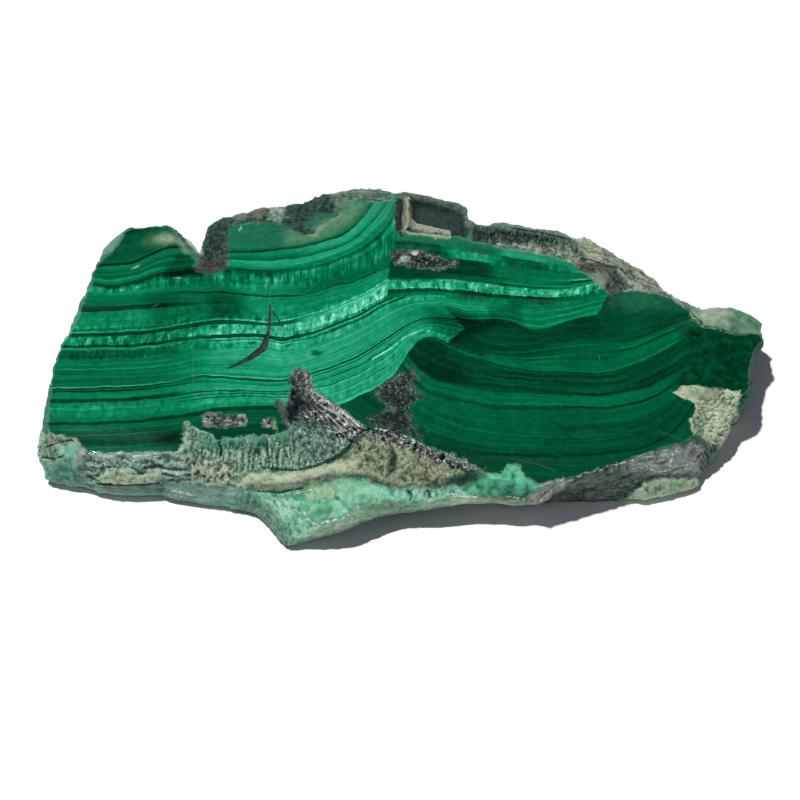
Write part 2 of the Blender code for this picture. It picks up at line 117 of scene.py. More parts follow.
# Growth lines of the left block, top to bottom: depth in the bedding, and the line's course.
LEFT_GUIDES = [
    (20.0, [(-58, 19.0), (-52.4, 19.3), (-48.4, 19.5), (-45.5, 20.2), (-43.4, 21.6), (-40.3, 23.5),
            (-36.0, 23.4), (-31.6, 22.6), (-23.8, 22.6), (-20.3, 23.0), (-18, 23.5), (-15.4, 24.5),
            (-12.2, 25.7), (-9.3, 27.2), (-7.6, 29.2), (-6.1, 31.6), (-5, 34), (-3, 38)]),
    (15.0, [(-58, 15.0), (-53.2, 14.9), (-48, 14.6), (-45.2, 15.6), (-42.4, 16.8), (-38, 17.5),
            (-31, 18.3), (-21.9, 17.6), (-18, 18.1), (-13.6, 19.5), (-10.4, 21.0), (-7.8, 22.4),
            (-5.5, 24.1), (-3.5, 26.2), (-1.7, 29.2), (-0.6, 32.4), (1.0, 36.0)]),
    (12.4, [(-58, 12.4), (-50, 12.4), (-44, 12.9), (-36, 13.1), (-30.9, 13.0), (-24.9, 12.2),
            (-17.7, 12.3), (-11.9, 14.1), (-6.3, 16.2), (-2.9, 18.3), (0, 20.5), (3, 23)]),
    (4.8, [(-58, 4.1), (-48.3, 4.4), (-42.6, 4.9), (-38, 5.6), (-34.2, 6.6), (-29.9, 7.0),
           (-26.2, 6.8), (-22, 6.5), (-20.3, 6.7), (-17.5, 7.4), (-14.6, 8.3), (-11.8, 9.5),
           (-9.1, 11.0), (-6.2, 12.7), (-2.3, 15.8), (0, 17.6), (4, 19.0)]),
    (1.2, [(-58, 1.0), (-48.9, 1.0), (-40.7, 1.6), (-38, 2.3), (-34, 3.2), (-31.2, 3.4),
           (-22.3, 3.6), (-20.3, 3.0), (-17.4, 3.4), (-14.5, 4.3), (-11.7, 5.6), (-8.9, 7.0),
           (-6.1, 8.7), (-3.9, 10.4), (-1.1, 12.2), (2.0, 13.2), (6.0, 13.6)]),
    (-7.2, [(-58, -7.7), (-50, -7.5), (-41.8, -7.0), (-37.6, -6.4), (-34.1, -5.6), (-28, -5.6),
            (-23.9, -6.1), (-18, -6.0), (-14.9, -4.6), (-11.6, -3.4), (-8.9, -2.0), (-6.1, -0.2),
            (-3.3, 2.1), (-0.6, 4.5), (2.3, 6.6), (4.0, 7.3), (7.0, 7.4), (11.0, 6.9)]),
    (-14.5, [(-58, -15.1), (-49.3, -14.9), (-41, -14.3), (-35.5, -13.4), (-28, -11.9),
             (-20, -11.7), (-14, -12.0), (-10.2, -11.4), (-7.4, -10.0), (-4.6, -8.2), (-2.4, -6.5),
             (-0.6, -4.3), (1.5, 0.0), (3.0, 2.0), (4.6, 2.9), (6.4, 2.7), (8.0, 1.6), (11, 0)]),
]

# Growth lines of the right block, above the basin
RIGHT_GUIDES = [
    (24.0, [(-4, 25.0), (3, 24.7), (12, 22.9), (22, 20.4), (30, 18.9), (36, 18.0)]),
    (19.6, [(-4, 20.0), (3, 19.6), (12, 19.4), (22, 17.6), (30, 16.9), (36, 17.4)]),
    (16.0, [(-4, 16.0), (3, 16.1), (12, 15.4), (18.7, 14.3), (24.5, 13.7), (28.7, 13.7),
            (33.9, 15.4), (37, 16.6)]),
    (13.6, [(-4, 13.0), (-1, 13.4), (3, 13.8), (12, 13.0), (18.7, 12.0), (24.5, 11.7),
            (28.7, 11.8), (33.9, 13.0), (37, 14)]),
    (7.0, [(-4, 1.6), (-0.6, 4.5), (2.3, 6.6), (4.0, 7.3), (8, 7.4), (12.0, 6.8), (15.6, 6.9),
           (19.3, 6.4), (21.8, 5.2), (24.2, 5.2), (27.0, 6.2), (30.0, 7.4), (34, 8.9), (38, 10)]),
]

# Growth lines of the basin, a stack of bowls
BASIN_GUIDES = [
    (1.4, [(3.0, 6.6), (7.0, 5.0), (9.5, 3.9), (11.1, 3.0), (12.7, 1.2), (16.1, 0.0), (21.1, -0.2),
           (26.5, 0.9), (30.0, 1.4), (34.6, 1.7), (39.1, 2.8), (43.2, 4.6), (46.1, 6.0), (48.2, 7.1),
           (54, 10)]),
    (-4.1, [(-2.0, 7.0), (3.0, 4.8), (5.6, 2.9), (7.8, 1.2), (10, -0.2), (14, -1.4), (18, -2.7),
            (21, -3.4), (25, -3.8), (30, -4.1), (34.2, -4.0), (38.8, -2.7), (41.1, -1.5),
            (44.6, 0.9), (47.2, 2.7), (50.1, 4.7), (56, 9)]),
    (-9.2, [(-3.0, 5.5), (0.0, 1.0), (1.8, -2.0), (3.0, -3.9), (5.2, -6.1), (8.8, -7.4),
            (12.6, -8.3), (18, -8.9), (23.2, -9.0), (28.5, -9.3), (34, -9.4), (38.4, -8.3),
            (42.3, -6.6), (46.6, -3.6), (49.2, -0.6), (52, 3)]),
    (-11.6, [(-4.0, 2.5), (-1.0, -1.5), (1.0, -4.5), (3.5, -7.8), (7.0, -9.7), (10.2, -10.6),
             (14, -11.3), (18.1, -11.6), (23.5, -11.7), (30.1, -11.8), (33.6, -11.7), (36.8, -11.2),
             (40, -10.2), (42.2, -9.0), (44.6, -7.2), (48, -4.0), (51, 0)]),
    (-18.4, [(-6, -5.0), (0.0, -9.0), (4, -12.6), (7, -14.6), (11, -16.3), (15.6, -17.4),
             (21.9, -18.1), (28, -18.4), (34.3, -17.8), (39, -16.5), (42, -14.9), (44.5, -12.8),
             (46.5, -10.2), (49, -6)]),
    (-21.5, [(-6, -9.0), (-1, -13.4), (3, -17.0), (8, -19.6), (15, -21.1), (22.6, -21.5),
             (28, -21.7), (33.4, -21.4), (36.1, -20.9), (38.8, -20.2), (41.6, -18.9), (44.2, -17.0),
             (46, -14.8), (47.5, -12.4), (50, -8)]),
]

# Beds met going down at a few places along x: height of each bed's upper surface there, and its tone.
LEFT_BEDS = {
    -47.0: [
        (30.0, DARK), (26.8, DIM), (20.1, INK), (19.5, MID), (18.3, DIM), (17.9, MID), (17.3, DIM),
        (16.9, MID), (16.4, FAIR), (16.1, MID), (15.4, DARK), (14.6, MID), (14.2, FAIR),
        (12.6, MID), (10.3, DARK), (9.2, FAIR), (5.2, MID), (4.75, BRIGHT), (4.4, DARK), (3.6, FAIR),
        (1.7, DARK), (1.05, BRIGHT), (0.8, FAIR), (0.4, DIM), (-1.2, MID), (-2.3, FAIR), (-2.6, MID),
        (-3.4, BRIGHT), (-3.6, MID), (-5.2, FAIR), (-5.5, MID), (-7.1, LIGHT), (-7.35, DARK),
        (-7.7, FAIR), (-7.9, DARK), (-8.3, FAIR), (-9.7, DARK), (-10.4, FAIR), (-11.6, BRIGHT),
        (-11.9, FAIR), (-13.6, MID), (-14.5, DARK), (-15.1, MID), (-16.2, DIM), (-16.8, DARK),
        (-17.1, MID), (-17.4, DARK), (-19.6, MID), (-19.9, DIM),
    ],
    -24.0: [
        (31.0, MID), (23.0, DARK), (22.4, FAIR), (21.5, MID), (20.9, DIM), (20.4, BRIGHT),
        (19.0, FAIR), (18.4, DIM), (17.2, MID), (16.6, FAIR), (13.9, FAIR), (12.6, DARK),
        (12.1, FAIR), (7.3, MID), (6.95, LIGHT), (6.6, DIM), (5.9, BRIGHT), (4.1, DARK), (3.4, BRIGHT),
        (3.0, DIM), (2.75, LIGHT), (2.45, BRIGHT), (1.2, FAIR), (0.9, BRIGHT), (-0.9, LIGHT),
        (-1.2, BRIGHT), (-2.8, FAIR), (-3.1, BRIGHT), (-4.8, FAIR), (-5.3, LIGHT), (-5.65, DARK),
        (-6.15, BRIGHT), (-6.5, FAIR), (-7.0, BRIGHT), (-8.2, DARK), (-8.4, BRIGHT), (-8.75, DIM),
        (-8.95, BRIGHT), (-9.3, DIM), (-9.5, BRIGHT), (-10.6, FAIR), (-11.3, DARK), (-12.1, DIM),
        (-15.0, DARK),
    ],
    -9.0: [
        (36.0, MID), (27.6, DARK), (27.1, BRIGHT), (25.4, FAIR), (24.9, DIM), (24.6, BRIGHT),
        (23.3, FAIR), (22.0, DIM), (21.3, FAIR), (20.2, MID), (17.6, MID), (15.5, DARK),
        (15.1, FAIR), (11.5, LIGHT), (11.1, FAIR), (10.8, LIGHT), (8.0, FAIR), (7.3, DARK),
        (6.8, BRIGHT), (6.3, DIM), (5.7, BRIGHT), (3.4, LIGHT), (3.1, BRIGHT), (1.2, FAIR),
        (0.9, BRIGHT), (-1.2, FAIR), (-1.5, LIGHT), (-1.75, DARK), (-2.2, BRIGHT), (-2.6, DARK),
        (-2.8, BRIGHT), (-3.9, DIM), (-4.2, BRIGHT), (-5.6, MID), (-5.9, LIGHT), (-6.2, BRIGHT),
        (-7.6, FAIR), (-7.9, LIGHT), (-8.1, BRIGHT), (-10.0, LIGHT), (-10.7, DARK),
    ],
}
RIGHT_BEDS = {
    3.0: [
        (29.0, DIM), (27.3, MID), (24.8, DARK), (24.0, DIM), (22.9, DARK), (16.4, MID), (16.0, BRIGHT),
        (14.2, DARK), (13.4, MID), (12.6, BRIGHT), (11.9, FAIR), (11.5, BRIGHT), (10.7, FAIR),
        (10.4, BRIGHT), (10.1, FAIR), (9.5, DIM), (9.2, MID), (8.4, DIM), (8.1, MID), (7.3, DARK),
        (6.9, MID), (6.5, DARK), (6.1, MID), (5.5, DIM), (5.0, MID),
    ],
    13.0: [
        (27.0, MID), (22.9, FAIR), (22.3, BRIGHT), (20.4, DARK), (17.0, DIM), (15.6, BRIGHT),
        (13.3, DARK), (12.5, FAIR), (11.2, BRIGHT), (10.1, LIGHT), (9.9, FAIR), (9.7, LIGHT),
        (9.5, BRIGHT), (9.3, LIGHT), (9.1, FAIR), (8.8, BRIGHT), (8.6, FAIR), (7.5, BRIGHT),
        (7.3, DIM),
    ],
    23.0: [
        (24.0, FAIR), (22.4, BRIGHT), (20.3, DIM), (18.4, MID), (15.0, FAIR), (14.6, DIM),
        (14.1, BRIGHT), (12.2, DARK), (11.6, MID), (10.4, FAIR), (9.0, BRIGHT), (8.7, FAIR),
        (7.4, BRIGHT), (7.1, FAIR), (5.9, BRIGHT), (5.6, FAIR),
    ],
    31.0: [
        (23.0, FAIR), (19.0, FAIR), (17.6, MID), (16.2, LIGHT), (15.9, DARK), (15.3, FAIR),
        (14.6, BRIGHT), (12.8, MID), (11.6, FAIR), (10.4, LIGHT), (10.2, FAIR), (9.3, LIGHT),
        (9.1, FAIR), (8.2, BRIGHT),
    ],
}
BASIN_BEDS = {
    9.0: [
        (8.0, DEEP), (2.2, DARK), (1.0, FAIR), (0.6, DARK), (-0.8, DEEP), (-1.2, DARK), (-2.6, DEEP),
        (-3.0, DARK), (-4.0, DEEP), (-6.9, DIM), (-7.6, MID), (-7.9, DIM), (-8.4, MID), (-9.3, DIM),
        (-9.8, DEEP), (-10.3, DIM), (-13.2, MID), (-13.5, DIM), (-15.0, MID), (-15.3, DIM),
        (-18.3, DARK), (-19.6, DEEP), (-21.0, DARK),
    ],
    20.0: [
        (8.0, DEEP), (3.5, DIM), (3.3, DEEP), (1.8, DIM), (1.6, DEEP), (0.1, MID), (-0.1, DARK),
        (-1.2, FAIR), (-1.4, DIM), (-1.8, MID), (-3.2, BRIGHT), (-3.4, DARK), (-4.0, DIM),
        (-4.2, DEEP), (-5.2, DIM), (-5.4, DEEP), (-6.1, DIM), (-6.3, DARK), (-7.0, DIM),
        (-7.2, DEEP), (-8.2, DARK), (-8.8, MID), (-9.7, FAIR), (-9.9, MID), (-10.7, FAIR),
        (-11.2, DARK), (-11.6, DEEP), (-12.1, DIM), (-16.6, MID), (-16.8, DIM), (-17.3, MID),
        (-17.5, DIM), (-19.3, MID), (-19.5, DIM), (-20.4, DARK), (-21.2, INK), (-21.7, DARK),
    ],
    31.0: [
        (9.0, DEEP), (2.6, DARK), (1.7, MID), (1.4, DIM), (0.2, DARK), (-0.2, DIM), (-1.2, DARK),
        (-1.5, DIM), (-2.0, MID), (-4.0, BRIGHT), (-4.2, DARK), (-4.9, DEEP), (-5.6, DARK),
        (-6.2, DIM), (-6.4, DEEP), (-7.1, DARK), (-7.7, DIM), (-7.9, DARK), (-8.7, INK),
        (-9.3, MID), (-10.0, FAIR), (-10.2, MID), (-11.2, FAIR), (-11.4, INK), (-11.8, DARK),
        (-12.0, DIM), (-15.0, DARK), (-17.4, DIM), (-17.6, DARK), (-18.3, DIM), (-18.5, DARK),
        (-20.9, INK), (-21.5, DARK), (-22.1, DARK),
    ],
    41.0: [
        (14.0, DIM), (9.3, DARK), (5.0, DEEP), (4.7, DARK), (3.9, DEEP), (3.6, DARK), (3.1, MID),
        (2.6, FAIR), (2.3, MID), (2.0, DEEP), (1.6, MID), (0.4, FAIR), (0.2, MID), (-1.3, BRIGHT),
        (-1.6, DARK), (-3.2, DEEP), (-3.7, DARK), (-4.9, DIM), (-5.1, DEEP), (-6.7, INK),
        (-7.2, DIM), (-7.6, MID), (-9.3, FAIR), (-9.5, INK), (-9.9, DARK), (-10.2, DIM),
        (-13.0, DARK), (-15.0, DIM), (-15.2, DARK), (-18.8, INK), (-19.4, DARK),
    ],
}

# Depth ranges where the bed is made of upright fibres that break it into pale blobs: top, bottom, amount
LEFT_FIBRES = [
    (15.0, 13.2, 0.9), (9.5, 5.4, 0.3), (6.2, 4.9, 0.8), (3.9, 1.5, 1.0), (0.9, -1.4, 0.5),
    (-9.6, -13.8, 0.35),
]
RIGHT_FIBRES = [(23.9, 20.5, 0.5), (16.2, 13.5, 1.0), (13.0, 11.8, 0.4)]

# Left edge of the right block, and upper edge of the basin
FAULT = [(-2.2, 12.2), (-2.1, 16.6), (-1.7, 19.0), (-1.0, 24.0), (-0.2, 40.0)]
BASIN_TOP = [
    (-16.0, -14.6), (-12.0, -12.6), (-10.2, -11.4), (-7.4, -10.0), (-4.6, -8.2), (-2.4, -6.5),
    (-0.6, -4.3), (0.6, -1.8), (1.5, 0.2), (3.0, 2.4), (4.4, 3.4), (5.8, 3.4), (7.2, 2.6), (7.8, 1.8),
    (8.8, 3.0), (10.5, 4.9), (13.4, 6.1), (15.6, 6.8), (17.5, 6.5), (19.3, 6.5), (21.2, 5.4),
    (22.6, 4.9), (24.2, 5.1), (26.2, 5.9), (28.6, 6.9), (31.2, 7.8), (33.2, 8.2), (34.2, 9.4),
    (34.9, 11.6), (36.4, 13.6), (40.0, 20.0),
]
# Contrast and lift of the tones in the basin
BASIN_CONTRAST = 0.6
BASIN_LIFT = 0.15

# Line of the fold in the middle of the polished face
FOLD_LINE = [(-4.6, -1.5), (-1.1, 1.2), (1, 3.4), (2.2, 4.1), (3.7, 4.8), (5.6, 4.5), (7.3, 3.6), (8.0, 2.8)]

# Cracks in the polished face: course, half width at the start and at the end, depth
CRACKS = [
    ([(-28.6, -3.4), (-26.7, -2.3), (-25.0, -1.2)], 0.20, 0.62, 0.12),
    ([(-25.0, -1.2), (-24.0, -0.2), (-22.9, 0.9)], 0.62, 0.85, 0.18),
    ([(-22.9, 0.9), (-22.5, 2.4), (-22.1, 4.6)], 0.85, 0.34, 0.14),
    ([(-22.1, 4.6), (-22.0, 7.5), (-22.1, 10.5)], 0.34, 0.14, 0.05),
    ([(-21.6, 9.0), (-20.6, 7.2), (-19.6, 5.2)], 0.20, 0.10, 0.03),
]

# Thin bright and dark lines on the broken surface, and scratches on the polish: course, half width. The
# bright lines are partly pale chips and streaks, partly painted highlights along edges that catch the light.
WHITE_LINES = [
    ([(-51.1, -21.2), (-49.7, -21.6), (-48.7, -21.5), (-47.5, -22.0)], 0.13),
    ([(-42.2, -22.2), (-40.3, -21.9), (-39.0, -21.6)], 0.10),
    ([(-36.3, -28.5), (-34.4, -28.9), (-32.6, -29.5)], 0.16),
    ([(-37.0, -29.3), (-35.4, -29.5), (-33.9, -30.0)], 0.10),
    ([(-29.4, -27.2), (-28.1, -27.6), (-26.8, -28.0)], 0.10),
    ([(-50.9, -25.4), (-49.4, -24.2), (-47.9, -23.0), (-46.3, -23.6)], 0.12),
    ([(-21.4, -17.7), (-20.8, -19.6), (-21.0, -21.2)], 0.16),
    ([(-20.3, -18.1), (-19.8, -19.6)], 0.14),
    ([(-25.1, -18.1), (-24.4, -19.6), (-24.6, -20.6)], 0.08),
    ([(-11.7, -16.5), (-10.1, -17.0), (-8.8, -16.5), (-7.8, -15.9)], 0.12),
    ([(-10.1, -17.1), (-9.4, -18.4), (-9.2, -19.8)], 0.09),
    ([(-8.8, -17.7), (-9.1, -19.2), (-9.6, -20.0)], 0.08),
    ([(-17.3, -14.9), (-16.6, -16.1), (-15.4, -17.1)], 0.07),
    ([(-15.6, -13.4), (-14.2, -14.4), (-13.1, -14.0)], 0.07),
    ([(-4.6, -15.7), (-3.3, -15.9), (-2.0, -16.5), (-0.8, -17.7)], 0.14),
    ([(0.0, -17.2), (1.3, -17.6), (2.3, -18.8)], 0.08),
    ([(-14.5, -8.5), (-12.8, -9.6), (-11.2, -11.1), (-9.8, -12.5), (-8.2, -14.1), (-6.8, -15.4)], 0.12),
    ([(-15.2, -32.4), (-14.2, -34.6), (-12.9, -34.9), (-11.0, -34.3), (-9.0, -33.8), (-7.9, -33.0)], 0.13),
    ([(-19.4, -29.3), (-16.0, -28.9), (-12.6, -27.7), (-10.6, -26.9)], 0.08),
    ([(7.0, -28.9), (8.3, -29.1), (9.2, -29.1)], 0.16),
    ([(9.5, -29.5), (11.1, -29.7), (12.1, -29.7)], 0.13),
    ([(16.6, -29.6), (18.4, -29.8), (19.8, -30.2)], 0.08),
    ([(22.2, -30.5), (25.2, -27.5), (29.8, -25.0), (33.7, -23.4), (37.3, -22.5), (39.2, -21.0)], 0.16),
    ([(43.2, -24.4), (43.7, -22.4), (44.0, -21.2)], 0.12),
    ([(40.1, -24.2), (41.7, -24.8), (43.0, -24.5)], 0.10),
    ([(45.0, -23.6), (46.6, -23.3), (47.9, -22.8)], 0.08),
    ([(47.0, -19.0), (48.0, -19.8), (49.1, -20.8)], 0.10),
    ([(41.2, -20.8), (43.3, -20.4), (45.2, -20.6)], 0.07),
    ([(38.7, -22.0), (41.1, -21.6)], 0.07),
    ([(36.6, -24.4), (39.4, -23.6), (41.4, -23.6)], 0.07),
]
DARK_LINES = [
    ([(-22.2, -23.9), (-17.2, -24.3), (-14.1, -23.7), (-11.7, -22.7)], 0.12),
    ([(-11.7, -22.7), (-10.0, -21.7), (-8.6, -20.2)], 0.34),
    ([(-8.6, -20.2), (-7.3, -18.0), (-6.2, -16.4), (-3.6, -16.0)], 0.14),
    ([(-57.6, -21.9), (-55.6, -22.2), (-54.4, -21.6)], 0.10),
    ([(-57.2, -19.8), (-55.4, -18.9), (-53.0, -18.4)], 0.09),
    # This line under the pale ridge is a groove painted dark as the shade beneath the ridge's overhang.
    ([(-48.2, -27.2), (-44.7, -27.4), (-41.0, -27.3), (-38.4, -26.9)], 0.10),
    ([(-29.4, -18.6), (-28.8, -20.4), (-28.9, -21.6)], 0.12),
    ([(-21.6, -18.8), (-21.3, -21.2)], 0.07),
    ([(-22.6, -28.6), (-19.0, -28.8), (-15.6, -28.0)], 0.10),
    ([(1.2, -28.4), (2.0, -29.4), (1.6, -30.2)], 0.08),
    ([(4.4, -28.4), (4.9, -29.6)], 0.08),
    ([(31.4, 21.0), (33.4, 20.6), (35.6, 19.4), (37.4, 18.6)], 0.14),
    ([(20.0, 28.0), (25.0, 26.9), (29.6, 25.4)], 0.10),
    ([(-11.0, 32.4), (-7.0, 34.8), (-3.0, 34.6)], 0.07),
    ([(48.6, 10.0), (51.2, 6.0), (54.0, 5.0), (57.4, 3.9), (60.0, 4.0)], 0.08),
    ([(-24.6, 29.9), (-22.6, 29.6), (-20.0, 28.0)], 0.12),
]
SCRATCHES = [
    ([(19.0, -22.3), (22.0, -23.2), (25.0, -24.5)], 0.03),
    ([(24.6, -15.1), (29.8, -18.2)], -0.02),
    ([(42.0, -16.5), (45.4, -18.2)], 0.0),
    ([(-34.7, 4.8), (-34.4, -3.0), (-34.0, -10.1)], 0.0),
    ([(-22.4, 16.0), (-22.1, 10.0)], 0.0),
]


def smoothstep(t):
    t = np.clip(t, 0.0, 1.0)
    return t * t * (3.0 - 2.0 * t)


def eased(gap, blur):
    """0 to 1 across an edge, from one blur outside it to one blur inside it."""
    return smoothstep(gap / blur * 0.5 + 0.5)


def smooth_line(points, x):
    """Height at x of a smooth curve through the points, carried on straight past its ends."""
    px, py = np.array(points, float).T
    slope = np.diff(py) / np.diff(px)
    span = np.diff(px)
    tangent = np.empty(len(px))
    tangent[0], tangent[-1] = slope[0], slope[-1]
    tangent[1:-1] = (span[1:] * slope[:-1] + span[:-1] * slope[1:]) / (span[1:] + span[:-1])
    k = np.clip(np.searchsorted(px, x) - 1, 0, len(span) - 1)
    t = (np.clip(x, px[0], px[-1]) - px[k]) / span[k]
    curve = (
        (2 * t**3 - 3 * t**2 + 1) * py[k] + (t**3 - 2 * t**2 + t) * span[k] * tangent[k]
        + (3 * t**2 - 2 * t**3) * py[k + 1] + (t**3 - t**2) * span[k] * tangent[k + 1]
    )
    return curve + np.minimum(x - px[0], 0.0) * tangent[0] + np.maximum(x - px[-1], 0.0) * tangent[-1]


def bedding(x, y, guides):
    """Depth in the bedding at each point, read between the growth lines above and below it."""
    lines = [smooth_line(points, x) for _, points in guides]
    for upper, k in zip(lines, range(1, len(lines))):
        lines[k] = np.minimum(lines[k], upper - 0.15)
    depth = guides[0][0] + (y - lines[0])
    for (high, _), (low, _), upper, lower in zip(guides, guides[1:], lines, lines[1:]):
        between = low + (high - low) * (y - lower) / (upper - lower)
        depth = np.where(y < upper, between, depth)
    return np.where(y < lines[-1], guides[-1][0] + (y - lines[-1]), depth)


CHUNK = 4000


def segment_distance(pts, a, b):
    """Distance of each point, seen from above, to the nearest of the straight pieces from a to b."""
    d = b - a
    dist = np.empty(len(pts))
    for start in range(0, len(pts), CHUNK):
        v = pts[start:start + CHUNK, None, :2] - a
        t = np.clip((v * d).sum(-1) / np.maximum((d * d).sum(-1), 1e-12), 0.0, 1.0)
        dist[start:start + CHUNK] = np.sqrt(((v - t[..., None] * d) ** 2).sum(-1)).min(1)
    return dist


def path_distance(pts, path):
    """Distance of each point to an open line."""
    line = np.array(path, float)
    return segment_distance(pts, line[:-1], line[1:])


def signed_distance(pts, outline):
    """Millimetres inside the outline, negative outside it."""
    a = np.array(outline, float)
    b = np.roll(a, -1, axis=0)
    d = b - a
    climb = np.where(np.abs(d[:, 1]) < 1e-9, 1e-9, d[:, 1])
    inside = np.zeros(len(pts), bool)
    for start in range(0, len(pts), CHUNK):
        part = pts[start:start + CHUNK, None, :2]
        crosses = (a[:, 1] > part[..., 1]) != (b[:, 1] > part[..., 1])
        at = a[:, 0] + (part[..., 1] - a[:, 1]) * d[:, 0] / climb
        inside[start:start + CHUNK] = (crosses & (part[..., 0] < at)).sum(1) % 2 == 1
    dist = segment_distance(pts, a, b)
    return np.where(inside, dist, -dist)


def line_distance(pts, lines):
    """Distance of each point to the nearest of several lines, less that line's half width."""
    near = np.full(len(pts), 9.0)
    for points, half_width in lines:
        line = np.array(points, float)
        low, high = line.min(0) - 2.0, line.max(0) + 2.0
        close = ((pts[:, :2] > low) & (pts[:, :2] < high)).all(1)
        if close.any():
            near[close] = np.minimum(near[close], path_distance(pts[close], points) - half_width)
    return near


def crack_depth(pts):
    """How far into a crack each point lies, 1 on its middle line and 0 outside it, and the cut there."""
    amount = np.zeros(len(pts))
    cut = np.zeros(len(pts))
    for points, start_width, end_width, depth in CRACKS:
        line = np.array(points, float)
        step = np.linalg.norm(np.diff(line, axis=0), axis=1)
        run = np.concatenate([[0.0], np.cumsum(step)]) / step.sum()
        for k in range(len(line) - 1):
            d = line[k + 1] - line[k]
            t = np.clip(((pts[:, :2] - line[k]) @ d) / (d @ d), 0.0, 1.0)
            dist = np.linalg.norm(pts[:, :2] - line[k] - t[:, None] * d, axis=1)
            along = run[k] + t * (run[k + 1] - run[k])
            width = start_width + (end_width - start_width) * along
            inside = np.clip(1.0 - dist / width, 0.0, 1.0)
            amount = np.maximum(amount, inside)
            cut = np.maximum(cut, depth * smoothstep(inside * 1.6))
    return amount, cut


def scrambled(cell, seed):
    """A repeatable number from 0 to 1 for each whole-number cell."""
    n = cell[..., 0] * 73856093 ^ cell[..., 1] * 19349663 ^ cell[..., 2] * 83492791
    n = (n ^ seed * 26544357) & 0xFFFFFFFF
    n = ((n ^ (n >> 13)) * 1274126177) & 0xFFFFFFFF
    n = ((n ^ (n >> 16)) * 668265263) & 0xFFFFFFFF
    return ((n ^ (n >> 15)) & 0xFFFFFF) / 0x1000000


def gradient_noise(q, seed=0):
    """Smooth noise around 0 with features about one unit wide."""
    base = np.floor(q).astype(np.int64)
    f = q - base
    ease = f * f * f * (f * (f * 6.0 - 15.0) + 10.0)
    total = np.zeros(len(q))
    for corner in np.ndindex(2, 2, 2):
        corner = np.array(corner)
        slope = np.stack([scrambled(base + corner, seed * 3 + k) for k in range(3)], -1) * 2.0 - 1.0
        share = np.where(corner, ease, 1.0 - ease).prod(-1)
        total += share * (slope * (f - corner)).sum(-1)
    return total * 1.6


def fractal(q, octaves=4, gain=0.55, seed=0):
    """Noise around 0 with ever finer and weaker layers."""
    total, size = np.zeros(len(q)), 1.0
    for octave in range(octaves):
        total += size * gradient_noise(q * 2.07 ** octave + octave * 17.3, seed + octave)
        size *= gain
    return total


def ridged(q, octaves=3, seed=5):
    """Noise with sharp crests, like the blades of a crystal spray."""
    total, size = np.zeros(len(q)), 1.0
    for octave in range(octaves):
        total += size * (0.4 - np.abs(gradient_noise(q * 2.1 ** octave + octave * 11.7, seed + octave)) * 1.4)
        size *= 0.5
    return total


def cells(q, seed=0):
    """Distance to the nearest scattered point, and that point's place and random number."""
    base = np.floor(q).astype(np.int64)
    nearest = np.full(len(q), 9.0)
    middle = np.zeros_like(q)
    chance = np.zeros(len(q))
    for shift in np.ndindex(3, 3, 3):
        cell = base + np.array(shift) - 1
        point = cell + np.stack([scrambled(cell, seed * 5 + k) for k in range(3)], -1)
        dist = np.linalg.norm(q - point, axis=1)
        closer = dist < nearest
        nearest[closer] = dist[closer]
        middle[closer] = point[closer]
        chance[closer] = scrambled(cell, seed * 5 + 3)[closer]
    return nearest, middle, chance


def domes(q, seed=2):
    """Rounded cells, like the skin of botryoidal malachite, about -0.5 to 0.5."""
    near, _, _ = cells(q, seed)
    return 0.5 - np.minimum(near, 1.0) ** 2 * 1.5


def crumbs(q, seed=3):
    """Blocks of uneven height, like a crust of small crystals, about -0.5 to 0.5."""
    near, _, chance = cells(q, seed)
    return chance - 0.25 - near * 0.55


def facets(q, seed=4):
    """Flat crystal faces, each tilted its own way."""
    _, middle, chance = cells(q, seed)
    tilt = np.stack([scrambled(np.floor(middle * 64).astype(np.int64), k) for k in (21, 22, 23)], -1) - 0.5
    return chance - 0.5 + ((q - middle) * tilt).sum(1) * 2.2


def terraces(height, steps=4.0, sharp=3.0):
    """The same height, broken into small steps."""
    level = np.floor(height * steps)
    return (level + smoothstep((height * steps - level - 0.5) * sharp + 0.5)) / steps


# Fine mesh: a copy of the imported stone's faces, each long edge halved until it is short enough.
def read_mesh(obj):
    """Points in the drawing frame and triangles, with points at the same place joined."""
    data = obj.data
    data.calc_loop_triangles()
    points = np.empty(len(data.vertices) * 3)
    data.vertices.foreach_get("co", points)
    tris = np.empty(len(data.loop_triangles) * 3, int)
    data.loop_triangles.foreach_get("vertices", tris)
    points = np.round(points.reshape(-1, 3) / MM, 4) + MIDDLE
    points, same = np.unique(points, axis=0, return_inverse=True)
    tris = same.reshape(-1)[tris].reshape(-1, 3)
    return points, tris


def turned(tris, marks, first):
    """Triangles and their edge marks turned so that edge number first comes first."""
    pick = (np.arange(3)[None] + first[:, None]) % 3
    row = np.arange(len(tris))[:, None]
    return tris[row, pick], marks[row, pick]


def all_edges(tris):
    """Edges of the triangles, each once, which of them each side is, and how often each is used."""
    edges = np.sort(np.concatenate([tris[:, [0, 1]], tris[:, [1, 2]], tris[:, [2, 0]]]), axis=1)
    number = tris.max() + 1
    keys, back, count = np.unique(edges[:, 0] * number + edges[:, 1], return_inverse=True, return_counts=True)
    return np.stack([keys // number, keys % number], 1), back.reshape(3, -1).T, count


